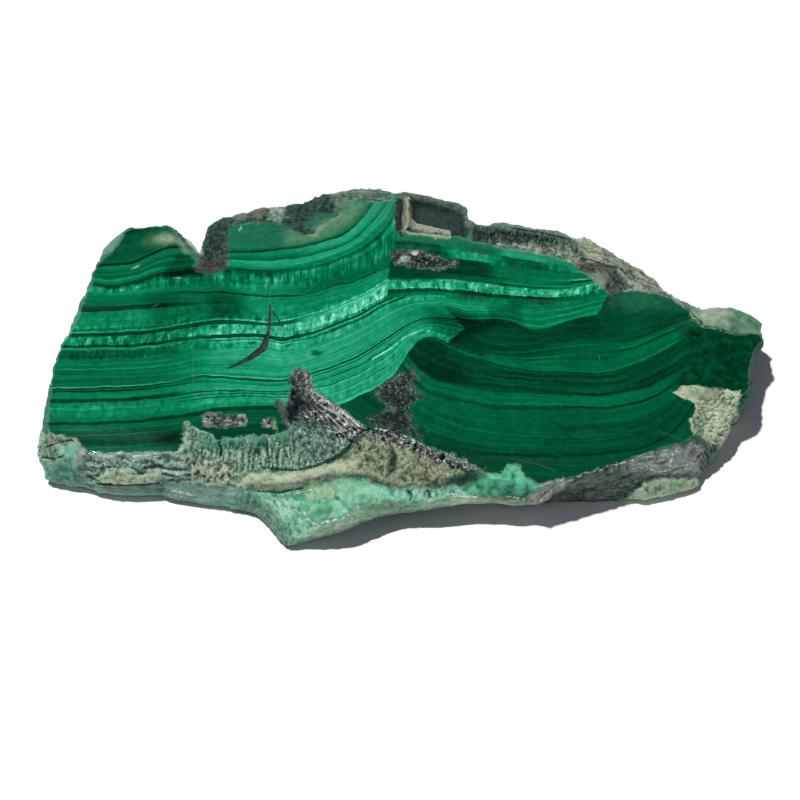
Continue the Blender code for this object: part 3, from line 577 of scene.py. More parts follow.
def split_long_edges(points, tris, wanted):
    """Halves every edge longer than wanted, and with it the longest edge of each triangle it touches.

    Without the longest edges the triangles would get thinner and longer, and the splitting wouldn't end.
    """
    while True:
        unique, back, _ = all_edges(tris)
        ends = points[unique]
        middle = ends.mean(1)
        length = np.linalg.norm(ends[:, 0, :3] - ends[:, 1, :3], axis=1)
        long = length > LINE_STEP
        long[long] = length[long] > wanted(middle[long])
        if not long.any():
            return points, tris
        longest = back[np.arange(len(tris)), length[back].argmax(1)]
        while True:
            touched = longest[long[back].any(1)]
            if long[touched].all():
                break
            long[touched] = True
        number = np.full(len(unique), -1)
        number[long] = len(points) + np.arange(long.sum())
        points = np.vstack([points, middle[long]])
        marks = number[back]
        count = (marks >= 0).sum(1)
        out = [tris[count == 0]]
        one, mark = tris[count == 1], marks[count == 1]
        if len(one):
            (a, b, c), m = (part.T for part in turned(one, mark, (mark >= 0).argmax(1)))
            out += [np.stack([a, m[0], c], 1), np.stack([m[0], b, c], 1)]
        two, mark = tris[count == 2], marks[count == 2]
        if len(two):
            (a, b, c), m = (part.T for part in turned(two, mark, (mark < 0).argmax(1) + 1))
            out.append(np.stack([m[0], b, m[1]], 1))
            short = np.linalg.norm((points[a] - points[m[1]])[:, :3], axis=1) < np.linalg.norm(
                (points[m[0]] - points[c])[:, :3], axis=1
            )
            left = np.where(short, m[1], c)
            right = np.where(short, a, m[0])
            out += [np.stack([a, m[0], left], 1), np.stack([right, m[1], c], 1)]
        three, mark = tris[count == 3], marks[count == 3]
        if len(three):
            (a, b, c), m = three.T, mark.T
            out += [
                np.stack([a, m[0], m[2]], 1), np.stack([m[0], b, m[1]], 1),
                np.stack([m[2], m[1], c], 1), np.stack([m[0], m[1], m[2]], 1),
            ]
        tris = np.concatenate(out)


def on_face(points, tris):
    """Triangles of the flat polished face, and the vertices that belong to them."""
    flat = (np.abs(points[tris][:, :, 2] - FACE_Z) < FACE_TOLERANCE).all(1)
    found = np.zeros(len(points), bool)
    found[tris[flat]] = True
    return flat, found


def border(tris):
    """Edges used by one triangle only."""
    edges, _, count = all_edges(tris)
    return edges[count == 1]


def vertex_normals(pts, tris):
    """Direction of the surface at each vertex, larger triangles counting more."""
    a, b, c = (pts[tris[:, k]] for k in range(3))
    face_normals = np.cross(b - a, c - a)
    out = np.zeros_like(pts)
    for axis in range(3):
        for k in range(3):
            out[:, axis] += np.bincount(tris[:, k], face_normals[:, axis], len(pts))
    return out / np.maximum(np.linalg.norm(out, axis=1), 1e-12)[:, None]


def seen_in_face(pts):
    """Where each point shows in the plane of the face, seen from the photograph's view."""
    return EYE + (pts - EYE) * ((FACE_Z - EYE[2]) / (pts[:, 2] - EYE[2]))[:, None]


points, tris = read_mesh(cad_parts["malachite_stone"])
flat, _ = on_face(points, tris)
face_edges = points[border(tris[flat])][:, :, :2]
facing = vertex_normals(points, tris) @ TO_CAMERA


def wanted_length(middle):
    """Longest edge allowed at each place; the fourth column tells how much it faces the camera."""
    length = np.where(middle[:, 3] > AWAY_FROM_CAMERA, ROUGH_STEP, BACK_STEP)
    length[np.abs(middle[:, 2] - FACE_Z) < FACE_TOLERANCE] = FACE_STEP
    lines = [(path, width) for path, width, _, _ in CRACKS] + WHITE_LINES + DARK_LINES + SCRATCHES
    length[line_distance(seen_in_face(middle[:, :3]), lines) < LINE_REACH] = LINE_STEP
    length[middle[:, 2] < BASE_TOLERANCE] = BASE_STEP
    return length


points, tris = split_long_edges(np.column_stack([points, facing]), tris, wanted_length)
points = points[:, :3]
flat, polished = on_face(points, tris)
edge_gap = segment_distance(points, face_edges[:, 0], face_edges[:, 1])
resting = points[:, 2] < BASE_TOLERANCE
mesh_edges, _, _ = all_edges(tris)
edge_count = np.bincount(mesh_edges.ravel(), minlength=len(points))


def neighbour_mean(values):
    """Mean of each vertex's neighbours."""
    a, b = mesh_edges.T
    columns = [
        np.bincount(a, column[b], len(points)) + np.bincount(b, column[a], len(points))
        for column in np.atleast_2d(values.T)
    ]
    return np.squeeze(np.stack(columns, -1) / edge_count[:, None])


held = polished | resting
for _ in range(SMOOTHING):
    points = np.where(held[:, None], points, 0.5 * points + 0.5 * neighbour_mean(points))
normals = vertex_normals(points, tris)
place = points.copy()
seen = seen_in_face(points)
faces_camera = smoothstep((normals @ TO_CAMERA + 0.10) / 0.2)


def turned_in_plan(pts, degrees):
    """Points in a frame turned anticlockwise about z, so that streaks can run along its x."""
    angle = math.radians(degrees)
    c, s = math.cos(angle), math.sin(angle)
    return np.stack([pts[:, 0] * c + pts[:, 1] * s, -pts[:, 0] * s + pts[:, 1] * c, pts[:, 2]], 1)


# Parts of the broken surface, each laid over those above it. Lengths are in mm.
#   outline: its edge in the plane of the face, as the photograph shows it
#   blur, ragged: width over which the edge fades, and how far it wanders
#   light, dark, shade: its two colours, and a factor for both
#   mix, bias: how much grain, patches and streaks mix the colours, and a shift towards light
#   flow: the streaks' direction in degrees, their length and their width
#   gloss, glint: roughness of the surface, and strength of the white glints of crystals
#   banded: how far the growth bands show through
#   relief, rise: height of the relief from the place and from the place along the streaks, and a lift
DEFAULTS = dict(
    blur=0.5, ragged=0.45, mix=(0.35, 0.6, 0.2), bias=0.0, flow=(0.0, 1.0, 1.0), gloss=0.72, glint=0.0,
    banded=0.0, rise=0.0, shade=1.0,
)
HIDDEN = dict(
    light=(104, 152, 124), dark=(24, 72, 52), banded=0.8, flow=(0.0, 1.2, 1.2),
    relief=lambda q, f: 0.30 * fractal(q / (2.4, 2.4, 3.6)) + 0.10 * terraces(fractal(q / 1.1, seed=3)),
)


def vug(height, crystals, **more):
    """One of the small hollows filled with pale crystals."""
    return dict(
        blur=0.3, ragged=0.35, mix=(0.9, 0.5, 0.0), relief=lambda q, f: height + crystals * crumbs(q / 0.6),
        **more,
    )


ZONES = {
    "left_rind": dict(
        outline=[(-62, -16), (-57.6, -16.6), (-55.5, -17.6), (-52.4, -18.2), (-51.2, -21.1), (-44.7, -20.8),
                 (-35, -20.7), (-33.1, -21.4), (-29.7, -24.4), (-25.9, -26.0), (-23.4, -28.3),
                 (-20.5, -31.5), (-24.5, -34), (-44, -33), (-64, -31)],
        light=(186, 214, 194), dark=(50, 96, 76), mix=(0.35, 0.75, 0.7), bias=-0.06, flow=(-14, 2.6, 0.7),
        relief=lambda q, f: 0.34 * terraces(fractal(f / (1.5, 1.2, 1.0)), 3)
        + 0.12 * fractal(q / 0.6, seed=7),
        glint=0.25,
    ),
    "left_corner": dict(
        outline=[(-57.7, -17.2), (-53.4, -17.6), (-51.7, -19.0), (-50.6, -21.0), (-51, -22.6),
                 (-54.5, -23.0), (-57.9, -21.8)],
        blur=0.8, light=(176, 196, 168), dark=(62, 96, 72), shade=0.7, mix=(0.4, 0.9, 0.3),
        flow=(-30, 1.4, 0.5),
        relief=lambda q, f: 0.26 * terraces(fractal(q / 1.2, seed=2), 4) + 0.1 * fractal(q / 0.5),
    ),
    "left_blob": dict(
        outline=[(-55, -19.8), (-53.4, -19.4), (-52.2, -20.6), (-52.2, -22.4), (-54.1, -22.8),
                 (-55.2, -21.2)],
        blur=0.8, light=(150, 214, 186), dark=(70, 142, 112), mix=(0.3, 0.5, 0.0),
        relief=lambda q, f: 0.15 * domes(q / 1.2),
    ),
    "left_low": dict(
        outline=[(-58.1, -22.8), (-54.7, -22.6), (-52.3, -22.9), (-50.2, -25.2), (-51.4, -29.5),
                 (-58, -29)],
        blur=1.0, light=(126, 186, 160), dark=(52, 104, 84), mix=(0.5, 0.6, 0.2),
        relief=lambda q, f: 0.16 * fractal(q / 0.9, seed=4),
    ),
    "rind_ridge": dict(
        outline=[(-48, -26), (-47.2, -24.6), (-45.3, -23.9), (-43, -24.6), (-41.6, -25.4),
                 (-40.1, -24.4), (-38.9, -24), (-37.9, -25.2), (-39, -26.6), (-41.5, -27.1),
                 (-44.7, -27.1), (-47.3, -26.9)],
        blur=0.5, light=(204, 214, 182), dark=(110, 132, 106), shade=1.2, mix=(0.5, 0.5, 0.2), bias=0.05,
        relief=lambda q, f: 0.3 + 0.2 * fractal(q / 0.8), glint=0.5,
    ),
    "rind_lens": dict(
        outline=[(-51.5, -26.6), (-48.7, -27.1), (-44.7, -27.6), (-40.7, -27.4), (-37.6, -26.9),
                 (-31.9, -27.3), (-26.3, -27.9), (-23, -29.9), (-21.4, -31.4), (-25.4, -32),
                 (-31.8, -31.5), (-39.8, -31), (-46.2, -30.5), (-50.6, -29.5)],
        blur=0.5, light=(150, 184, 168), dark=(78, 116, 102), mix=(0.15, 0.45, 0.55), flow=(-8, 4.0, 0.5),
        relief=lambda q, f: -0.15 + 0.10 * fractal(f / (1.4, 0.9, 0.6)),
    ),
    "fracture": dict(
        outline=[(-35.0, -14.8), (-32.4, -16.6), (-30.1, -18.0), (-27.2, -18.0), (-24.3, -17.4),
                 (-21.1, -17.8), (-17.8, -15.9), (-15.7, -15.0), (-12.0, -16.0), (-9.5, -19.0),
                 (-8.6, -20.4), (-10.0, -22.0), (-14.0, -23.8), (-16.0, -24.4), (-19.7, -24.4),
                 (-24.0, -24.8), (-25.9, -26.0), (-29.7, -24.4), (-33.8, -22.4), (-35.2, -20.0)],
        blur=0.9, ragged=0.9, light=(168, 202, 174), dark=(26, 74, 54), mix=(0.5, 0.35, 0.75),
        flow=(84, 2.4, 0.42), glint=0.45,
        relief=lambda q, f: 0.30 * fractal(f / (1.0, 1.0, 3.0)) + 0.16 * fractal(q / 0.5, seed=8)
        + 0.25 * fractal(q / (2.2, 3.0, 3.0), seed=9),
    ),
    "green_shoulder": dict(
        outline=[(-33.0, -17.2), (-30.0, -18.2), (-24.6, -18.0), (-20.6, -18.2), (-17.6, -16.2),
                 (-17.0, -18.4), (-21.4, -20.3), (-25.2, -19.9), (-29.8, -20.3), (-32.4, -19.0)],
        blur=1.0, ragged=0.7, light=(96, 168, 134), dark=(10, 82, 58), mix=(0.35, 0.5, 0.5),
        flow=(84, 2.4, 0.5), relief=lambda q, f: 0.2 * fractal(f / (1.0, 1.0, 3.0)) + 0.08 * fractal(q / 0.5),
    ),
    "granular": dict(
        outline=[(-34.6, -21.4), (-31.0, -22.4), (-26.6, -23.0), (-25.0, -24.4), (-26.0, -26.0),
                 (-28.4, -27.0), (-31.6, -26.6), (-34.0, -24.8)],
        blur=1.0, ragged=0.8, light=(198, 208, 178), dark=(62, 92, 68), mix=(0.9, 0.4, 0.0), glint=0.7,
        relief=lambda q, f: 0.5 * crumbs(q / 0.6) + 0.15 * fractal(q / 0.9),
    ),
    "ridge": dict(
        outline=[(-25.9, -26.2), (-24.0, -24.9), (-19.7, -24.6), (-16.0, -24.5), (-14.0, -23.9),
                 (-11.3, -22.9), (-8.9, -22.0), (-7.1, -22.4), (-4.3, -24.0), (0.0, -25.9), (5.9, -26.7),
                 (3.2, -27.8), (-2.4, -27.4), (-6.7, -25.7), (-9.1, -25.6), (-11.2, -26.2),
                 (-14.8, -27.4), (-19.9, -28.2), (-23.4, -28.0)],
        blur=0.45, ragged=0.3, light=(206, 212, 182), dark=(94, 112, 90), shade=0.9, mix=(0.3, 0.65, 0.35),
        bias=0.02,
        flow=(14, 3.0, 0.7), relief=lambda q, f: 0.10 * fractal(q / 1.2) + 0.05 * fractal(q / 0.35, seed=6),
    ),
    "ridge_foot": dict(
        outline=[(-26.2, -27.6), (-22, -28.0), (-16, -27.2), (-11.2, -26.1), (-8, -25.7), (-5.2, -26.5),
                 (-3.2, -27.8), (0.2, -28.5), (6.4, -28.4), (12.6, -27.2), (9, -26.2), (0, -27.4),
                 (-5, -25.4), (-8.6, -24.9), (-12, -25.4), (-17, -26.8), (-23, -27.2)],
        blur=0.35, ragged=0.25, light=(130, 146, 120), dark=(30, 52, 40), shade=1.3, mix=(0.3, 0.4, 0.3),
        bias=-0.1,
        relief=lambda q, f: 0.08 * fractal(q / 0.6),
    ),
    "lump": dict(
        outline=[(-8.6, -21.2), (-8.1, -19.8), (-6.8, -18.2), (-5.4, -16.3), (-2.4, -16.7), (0.8, -18.2),
                 (4.8, -20.2), (8.4, -22.3), (12.0, -24.2), (9.9, -25.6), (5.9, -26.6), (0.0, -26.6),
                 (-4.3, -25.2), (-7.1, -23.4), (-8.0, -22.6)],
        blur=0.4, light=(190, 200, 164), dark=(56, 76, 54), shade=0.75, mix=(0.75, 0.6, 0.0), bias=0.05,
        glint=0.3,
        relief=lambda q, f: 0.24 * fractal(q / 1.1) + 0.26 * crumbs(q / 0.5),
    ),
    "lump_dark": dict(
        outline=[(-1.9, -20.4), (-1.3, -19.6), (-0.6, -20.8), (-0.6, -24.4), (-1.6, -25.0), (-2.0, -22.8)],
        blur=0.6, light=(72, 92, 72), dark=(16, 34, 26), mix=(0.5, 0.4, 0.0), bias=-0.1,
        relief=lambda q, f: -0.35 + 0.2 * crumbs(q / 0.6),
    ),
    "lump_border": dict(
        outline=[(-8.3, -20.2), (-6.6, -17.6), (-5.4, -15.8), (-2.0, -16.2), (0.8, -17.4), (4.8, -19.5),
                 (8.4, -21.7), (13.2, -24.6), (9.6, -24.2), (5.0, -22.2), (1.4, -20.4), (-2.6, -18.8),
                 (-5.4, -18.0), (-6.8, -19.6)],
        blur=0.7, ragged=0.9, light=(150, 166, 154), dark=(14, 34, 28), shade=0.6, mix=(0.9, 0.5, 0.0),
        bias=-0.12,
        glint=1.0, gloss=0.35, relief=lambda q, f: 0.55 * facets(q / 0.7) + 0.2 * crumbs(q / 0.45),
    ),
    "foot": dict(
        outline=[(-24.7, -28.7), (-23.4, -28.4), (-19.9, -28.6), (-14.8, -27.6), (-11.2, -26.3),
                 (-9.1, -25.9), (-6.7, -26.0), (-2.4, -27.5), (3.2, -28.2), (5.9, -28.0), (11.2, -27.2),
                 (13.4, -27.5), (11.6, -33), (6.3, -33), (0, -34), (-4.7, -36), (-8.6, -38.4),
                 (-12.5, -41), (-16.9, -42), (-21, -40), (-25, -33.2)],
        blur=0.35, ragged=0.2, light=(168, 222, 190), dark=(52, 134, 100), shade=0.8, mix=(0.35, 0.8, 0.2),
        relief=lambda q, f: 0.16 * fractal(q / 1.0) + 0.10 * domes(q / 0.8),
    ),
    "foot_green": dict(
        outline=[(-20.8, -29.3), (-15.1, -29.0), (-14.6, -30.1), (-15.4, -31.8), (-17.4, -31.8),
                 (-19.7, -30.5)],
        blur=0.5, light=(86, 190, 140), dark=(16, 124, 84), shade=0.8, mix=(0.2, 0.7, 0.3),
        relief=lambda q, f: 0.06 * fractal(q / 1.0),
    ),
    "foot_pale": dict(
        outline=[(-15, -27.9), (-10.7, -26.9), (-10, -28.3), (-10.5, -29.9), (-14.3, -30.3),
                 (-14.9, -29.5)],
        blur=0.5, light=(194, 214, 180), dark=(104, 152, 120), mix=(0.5, 0.4, 0.5), flow=(70, 1.4, 0.35),
        relief=lambda q, f: 0.10 * fractal(f) + 0.06 * fractal(q / 0.4),
    ),
    "foot_mint": dict(
        outline=[(-10.2, -26.9), (-7.7, -26.1), (-3.4, -27.8), (-3.2, -29.9), (-6.0, -30.6),
                 (-8.2, -31.8), (-9.7, -31.0), (-10.2, -29.4)],
        blur=0.6, light=(178, 232, 196), dark=(98, 178, 140), shade=0.8, mix=(0.25, 0.7, 0.2),
        relief=lambda q, f: 0.14 * fractal(q / 1.4),
    ),
    "foot_crease": dict(
        outline=[(-10.4, -29.4), (-9.6, -29.8), (-9.0, -31.6), (-8.0, -32.2), (-8.4, -33.0), (-9.8, -31.8)],
        blur=0.4, light=(90, 130, 100), dark=(44, 92, 66), shade=0.6, mix=(0.3, 0.5, 0.0),
        relief=lambda q, f: -0.12 + 0.05 * fractal(q),
    ),
    "turquoise": dict(
        outline=[(-3.2, -27.9), (1.6, -28.5), (7.2, -28.3), (13.0, -27.4), (12.0, -29.2), (7.3, -29.7),
                 (3.2, -30.4), (-2.2, -30.2)],
        blur=0.4, ragged=0.3, light=(176, 244, 216), dark=(36, 118, 88), shade=0.7, mix=(0.25, 0.5, 0.6),
        bias=0.12,
        flow=(80, 1.5, 0.6), gloss=0.5,
        relief=lambda q, f: 0.30 * domes(q / (0.8, 1.2, 1.2)) + 0.12 * fractal(f),
    ),
    "foot_fan": dict(
        outline=[(-22, -29.5), (-18.3, -29.7), (-15.9, -30.3), (-15.1, -31.4), (-14.9, -32.8),
                 (-13.9, -34.5), (-12.9, -36.1), (-14.1, -38.1), (-15.7, -38.5), (-17.3, -36.8),
                 (-18.9, -34.1), (-20.8, -31.2)],
        blur=0.5, light=(182, 236, 204), dark=(66, 144, 112), shade=0.8, mix=(0.2, 0.8, 0.5), bias=-0.04,
        flow=(-60, 1.8, 0.6), relief=lambda q, f: 0.24 * domes(f / (0.8, 1.2, 0.8)) + 0.10 * fractal(q / 0.5),
    ),
    "foot_quad": dict(
        outline=[(-15.6, -30.4), (-13.4, -31.2), (-10.3, -30.1), (-8.9, -30.5), (-7.7, -32.6),
                 (-8.7, -33.6), (-11.8, -34.1), (-14.2, -34.7), (-15.3, -32.6)],
        blur=0.25, ragged=0.15, light=(96, 210, 156), dark=(24, 138, 92), shade=0.7, mix=(0.1, 0.6, 0.4),
        flow=(10, 2.0, 0.6), gloss=0.35, relief=lambda q, f: 0.1 + 0.05 * fractal(q / 1.4),
    ),
    "foot_side": dict(
        outline=[(-26, -29.4), (-22.4, -30.0), (-20.8, -31.4), (-18.9, -34.3), (-17.3, -37.0),
                 (-15.6, -38.7), (-16.6, -42), (-20.4, -40), (-26.0, -33)],
        blur=0.5, light=(150, 192, 166), dark=(60, 102, 80), shade=0.75, mix=(0.5, 0.5, 0.7),
        flow=(-55, 2.0, 0.45),
        relief=lambda q, f: 0.16 * fractal(f / (1.0, 1.2, 0.8)) + 0.08 * fractal(q / 0.5),
    ),
    "foot_rim": dict(
        outline=[(-16.3, -38.8), (-14.0, -37.0), (-12.9, -35.5), (-9.5, -33.9), (-7.6, -32.8),
                 (-6, -31.6), (-3.2, -30.8), (3.2, -30.6), (6.3, -30.2), (11.1, -29.6), (16.6, -29.4),
                 (17.6, -32.6), (6.3, -35), (-3.1, -37), (-10.9, -41), (-16.2, -42.2)],
        blur=0.4, ragged=0.3, light=(160, 190, 162), dark=(74, 110, 84), shade=0.8, mix=(0.35, 0.6, 0.4),
        flow=(18, 2.4, 0.5),
        relief=lambda q, f: 0.12 * fractal(f / (1.4, 1.0, 0.6)) + 0.06 * fractal(q / 0.5),
    ),
    "green_bay": dict(
        outline=[(9.4, -27.6), (12.2, -26.6), (14.2, -24.9), (16.2, -25.2), (17.4, -22.9), (18.6, -23.0),
                 (20.3, -25.8), (22.0, -27.2), (23.9, -26.6), (23.6, -28.0), (21.0, -29.6), (15.1, -29.6),
                 (10.4, -29.0)],
        blur=0.35, ragged=0.2, light=(108, 214, 166), dark=(10, 112, 74), shade=0.75, mix=(0.1, 0.9, 0.3),
        bias=0.02,
        gloss=0.4, relief=lambda q, f: 0.34 * domes(q / 1.9) + 0.06 * fractal(q / 0.6),
    ),
    "bay_gap": dict(
        outline=[(8.6, -25.4), (11.4, -25.2), (12.8, -24.6), (12.2, -26.2), (9.8, -27.3), (7.4, -27.2)],
        blur=0.5, light=(40, 96, 70), dark=(6, 44, 30), mix=(0.4, 0.5, 0.0),
        relief=lambda q, f: -0.15 + 0.1 * fractal(q / 0.6),
    ),
    "bay_lip": dict(
        outline=[(8.0, -29.3), (12.4, -29.9), (16.8, -29.9), (20.8, -30.2), (21.2, -32), (14, -32.6),
                 (8, -32)],
        blur=0.4, light=(190, 204, 176), dark=(96, 120, 96), shade=0.85, mix=(0.5, 0.6, 0.4),
        flow=(4, 2.0, 0.4),
        relief=lambda q, f: 0.12 * fractal(f / (1.2, 1.0, 0.6)),
    ),
    "right_wall": dict(
        outline=[(22.6, -30.2), (25.6, -27.3), (32.1, -24.1), (38.7, -21.6), (45.2, -19.4),
                 (49.5, -18.6), (54.5, -22), (49.4, -33), (23.5, -33)],
        blur=0.4, ragged=0.3, light=(116, 136, 118), dark=(26, 50, 38), mix=(0.35, 0.5, 0.8), bias=-0.08,
        flow=(20, 2.6, 0.6),
        relief=lambda q, f: 0.18 * fractal((f + 0.8 * fractal(q / 2.4, 2)[:, None]) / (1.3, 1.2, 0.9), 3),
    ),
    "wall_grey": dict(
        outline=[(33.7, -24.2), (37.3, -23.0), (39.2, -21.4), (43.5, -20.2), (47.8, -18.8), (50.8, -20.4),
                 (49.4, -24.2), (47.7, -25.6), (43.3, -25.6), (40.1, -25.0), (36.9, -25.0)],
        blur=0.6, ragged=0.5, light=(186, 190, 182), dark=(74, 92, 82), mix=(0.2, 0.5, 0.9), bias=-0.02,
        flow=(16, 3.0, 0.5), gloss=0.5, glint=0.3,
        relief=lambda q, f: 0.13 * fractal(
            (f + 0.9 * fractal(q / 2.0, 2, seed=4)[:, None]) / (1.4, 1.4, 1.0), 3
        ),
    ),
    "wedge": dict(
        outline=[(19.7, -31.4), (20.7, -29.5), (22, -28.2), (24, -26.9), (26.1, -26.0), (27.4, -26.5),
                 (24.8, -28.9), (23.5, -30.5), (21.9, -31.6), (20.3, -32.2)],
        blur=0.35, ragged=0.25, light=(210, 220, 204), dark=(88, 124, 100), shade=0.6, mix=(0.3, 0.5, 0.9),
        flow=(42, 2.0, 0.35), glint=0.6, relief=lambda q, f: 0.14 * fractal(f),
    ),
    "right_foot": dict(
        outline=[(34.8, -30.6), (36.8, -28.7), (38.8, -27.1), (41.6, -26.1), (47, -26.0), (48.2, -26.6),
                 (48.4, -34), (34.1, -34)],
        blur=0.3, ragged=0.3, light=(206, 224, 192), dark=(98, 140, 106), mix=(0.5, 0.6, 0.2), bias=0.05,
        relief=lambda q, f: 0.22 + 0.16 * fractal(q / 0.9),
    ),
    "crust": dict(
        outline=[(45.2, -8.7), (46.4, -7.5), (47.8, -7.2), (49.4, -7.4), (52.3, -7.9), (53.9, -8.3),
                 (56.0, -8.0), (56.0, -9.6), (55.2, -11.4), (55.4, -13.2), (55.1, -15.3), (54.4, -17.6),
                 (53.2, -19.8), (51.5, -20.2), (49.6, -18.4), (47.7, -17.3), (47.5, -14.6),
                 (48.7, -11.8), (48.5, -10.8), (46.4, -9.6)],
        blur=0.3, ragged=0.35, light=(204, 214, 184), dark=(82, 106, 82), shade=1.1, mix=(0.7, 0.5, 0.7),
        bias=0.04,
        flow=(30, 1.1, 0.35), glint=0.3,
        relief=lambda q, f: 0.24 * fractal(f / (1.0, 1.0, 1.4)) + 0.10 * crumbs(q / 0.6),
    ),
    "crust_top": dict(
        outline=[(45.6, -8.7), (46.6, -7.7), (49.4, -7.6), (52.3, -8.1), (52.0, -9.4), (49.0, -9.8),
                 (46.8, -9.6)],
        blur=0.6, light=(200, 204, 178), dark=(128, 144, 118), mix=(0.3, 0.6, 0.3), flow=(-20, 2.0, 0.5),
        relief=lambda q, f: 0.10 * fractal(q / 0.8),
    ),
    "crust_end": dict(
        outline=[(49.6, -18.6), (51.5, -20.0), (52.8, -19.8), (54.6, -17.6), (57, -19), (54, -26),
                 (48.6, -26.4), (48.4, -23)],
        blur=0.6, light=(110, 140, 118), dark=(26, 50, 38), shade=1.2, mix=(0.5, 0.6, 0.6),
        flow=(-30, 2.0, 0.4),
        relief=lambda q, f: 0.3 * fractal(f / (1.0, 1.0, 2.0)) + 0.1 * fractal(q / 0.5),
    ),
    "spire": dict(
        outline=[(-16.8, -3.6), (-15.3, -3.9), (-14.5, -6.2), (-14.4, -8.0), (-12.6, -9.2),
                 (-10.1, -11.5), (-8.1, -13.6), (-6.2, -15.0), (-5.8, -15.9), (-6.3, -17.1),
                 (-7.3, -18.7), (-9, -20), (-11.4, -19.0), (-12.4, -17.2), (-15.0, -16.4),
                 (-17.5, -16.0), (-19.4, -14.6), (-18.8, -12.4), (-18.2, -9.8), (-17.9, -8.0),
                 (-18.3, -5.4)],
        blur=0.35, ragged=0.3, light=(104, 128, 116), dark=(8, 28, 26), shade=0.6, mix=(0.7, 0.5, 0.6),
        bias=-0.14,
        flow=(-50, 2.2, 0.4), glint=0.8, gloss=0.3,
        relief=lambda q, f: 0.5 * facets(f / (1.0, 1.6, 1.4)) + 0.26 * ridged(f / (1.2, 1.4, 1.0)),
    ),
    "spire_tip": dict(
        outline=[(-18.1, -4.4), (-17, -3.4), (-15.6, -3.8), (-14.5, -5.9), (-14.6, -9.1), (-15.6, -10.5),
                 (-16.4, -9.3), (-17.3, -6.8)],
        blur=0.5, light=(156, 162, 146), dark=(34, 52, 42), shade=0.5, mix=(0.8, 0.6, 0.0), glint=0.8,
        gloss=0.4,
        relief=lambda q, f: 0.4 * crumbs(q / 0.6) + 0.2,
    ),
    "spire_shade": dict(
        outline=[(-18.5, -5.4), (-17.7, -5.1), (-17, -8), (-16.1, -11), (-16.3, -13.8), (-17.9, -15.0),
                 (-19, -13.2), (-18.1, -10.1)],
        blur=0.5, light=(34, 62, 66), dark=(4, 20, 26), mix=(0.5, 0.6, 0.2), gloss=0.3, glint=0.15,
        relief=lambda q, f: 0.3 * facets(q / 0.8) - 0.15,
    ),
    "spire_flank": dict(
        outline=[(-14.5, -8.3), (-12.8, -9.8), (-10.6, -11.6), (-8.2, -13.6), (-6.0, -15.6),
                 (-6.5, -17.3), (-8.1, -18.2), (-10.2, -16.9), (-12.0, -14.8), (-13.6, -12.2),
                 (-14.8, -10.0)],
        blur=0.4, ragged=0.3, light=(196, 204, 194), dark=(12, 22, 24), shade=0.8, mix=(0.5, 0.2, 1.6),
        bias=-0.06,
        flow=(-50, 1.8, 0.34), glint=1.0, gloss=0.25,
        relief=lambda q, f: 0.5 * ridged(f / (1.2, 1.6, 1.6)) + 0.3 * facets(f / (0.8, 1.6, 1.2)),
    ),
    "spire_foot": dict(
        outline=[(-17.0, -15.0), (-13.6, -14.6), (-12.2, -16.0), (-10.6, -17.6), (-8.1, -18.8),
                 (-7.6, -19.4), (-9.2, -21.4), (-11.3, -22.8), (-14.5, -23.0), (-16.8, -20.6),
                 (-18.2, -16.8)],
        blur=0.9, ragged=0.8, light=(132, 166, 146), dark=(24, 62, 50), mix=(0.6, 0.5, 0.3),
        relief=lambda q, f: 0.22 * fractal(q / 0.8) + 0.12 * crumbs(q / 0.5), glint=0.5,
    ),
    "spire_wing": dict(
        outline=[(-20.8, -9.6), (-20.1, -9.9), (-19.2, -11), (-18.2, -12.6), (-18.4, -14.4),
                 (-19.2, -13.9), (-20.0, -12.2)],
        blur=0.35, ragged=0.25, light=(110, 128, 116), dark=(10, 36, 28), shade=0.4, mix=(0.5, 0.5, 0.6),
        flow=(-62, 1.6, 0.4), gloss=0.4, relief=lambda q, f: 0.1 * fractal(f),
    ),
    "speckled": dict(
        outline=[(0.5, -4.6), (1.2, -3.0), (2.8, -5.0), (2.0, -8.0), (4.4, -8.7), (1.6, -11.5),
                 (2.0, -15.0), (3.4, -17.6), (0.8, -17.2), (-1.0, -17.2), (-2.0, -15.9), (-5.2, -15.4),
                 (-5.2, -14.4), (-3.2, -12.3), (-1.2, -12.0), (-3.0, -10.7), (-4.0, -7.8),
                 (-1.6, -5.8)],
        blur=1.3, ragged=1.0, light=(72, 108, 94), dark=(2, 40, 26), shade=0.4, mix=(1.1, 0.4, 0.0),
        bias=-0.22,
        glint=0.35, gloss=0.3, relief=lambda q, f: 0.3 * crumbs(q / 0.5),
    ),
    "speckled_top": dict(
        outline=[(-3.9, -7.6), (-1.6, -5.8), (0.4, -5.2), (1.0, -7.4), (-0.2, -9.0), (-2.0, -9.4),
                 (-3.4, -9.0)],
        blur=1.0, ragged=0.8, light=(120, 132, 130), dark=(16, 44, 38), shade=0.35, mix=(1.0, 0.5, 0.0),
        bias=-0.1,
        glint=0.5, gloss=0.35, relief=lambda q, f: 0.34 * crumbs(q / 0.5),
    ),
    "vug_floor": dict(
        outline=[(-32.6, -12.9), (-31.4, -12.4), (-28.8, -13.4), (-25.4, -13.3), (-25.0, -15.4),
                 (-28.4, -16.0), (-31.9, -15.8)],
        blur=0.35, ragged=0.4, light=(60, 104, 84), dark=(4, 46, 30), shade=0.5, mix=(0.7, 0.4, 0.0),
        bias=-0.1,
        relief=lambda q, f: 0.2 * crumbs(q / 0.6),
    ),
    "vug_a": vug(
        outline=[(-32.4, -14.5), (-32.3, -13), (-31.4, -12.5), (-30.6, -12.7), (-29.9, -13.3),
                 (-29.1, -13.9), (-29.3, -15.1), (-30.3, -15.6), (-31.7, -15.6)],
        light=(186, 192, 176), dark=(58, 74, 62), shade=0.5, glint=1.0, height=0.25, crystals=0.6,
    ),
    "vug_b": vug(
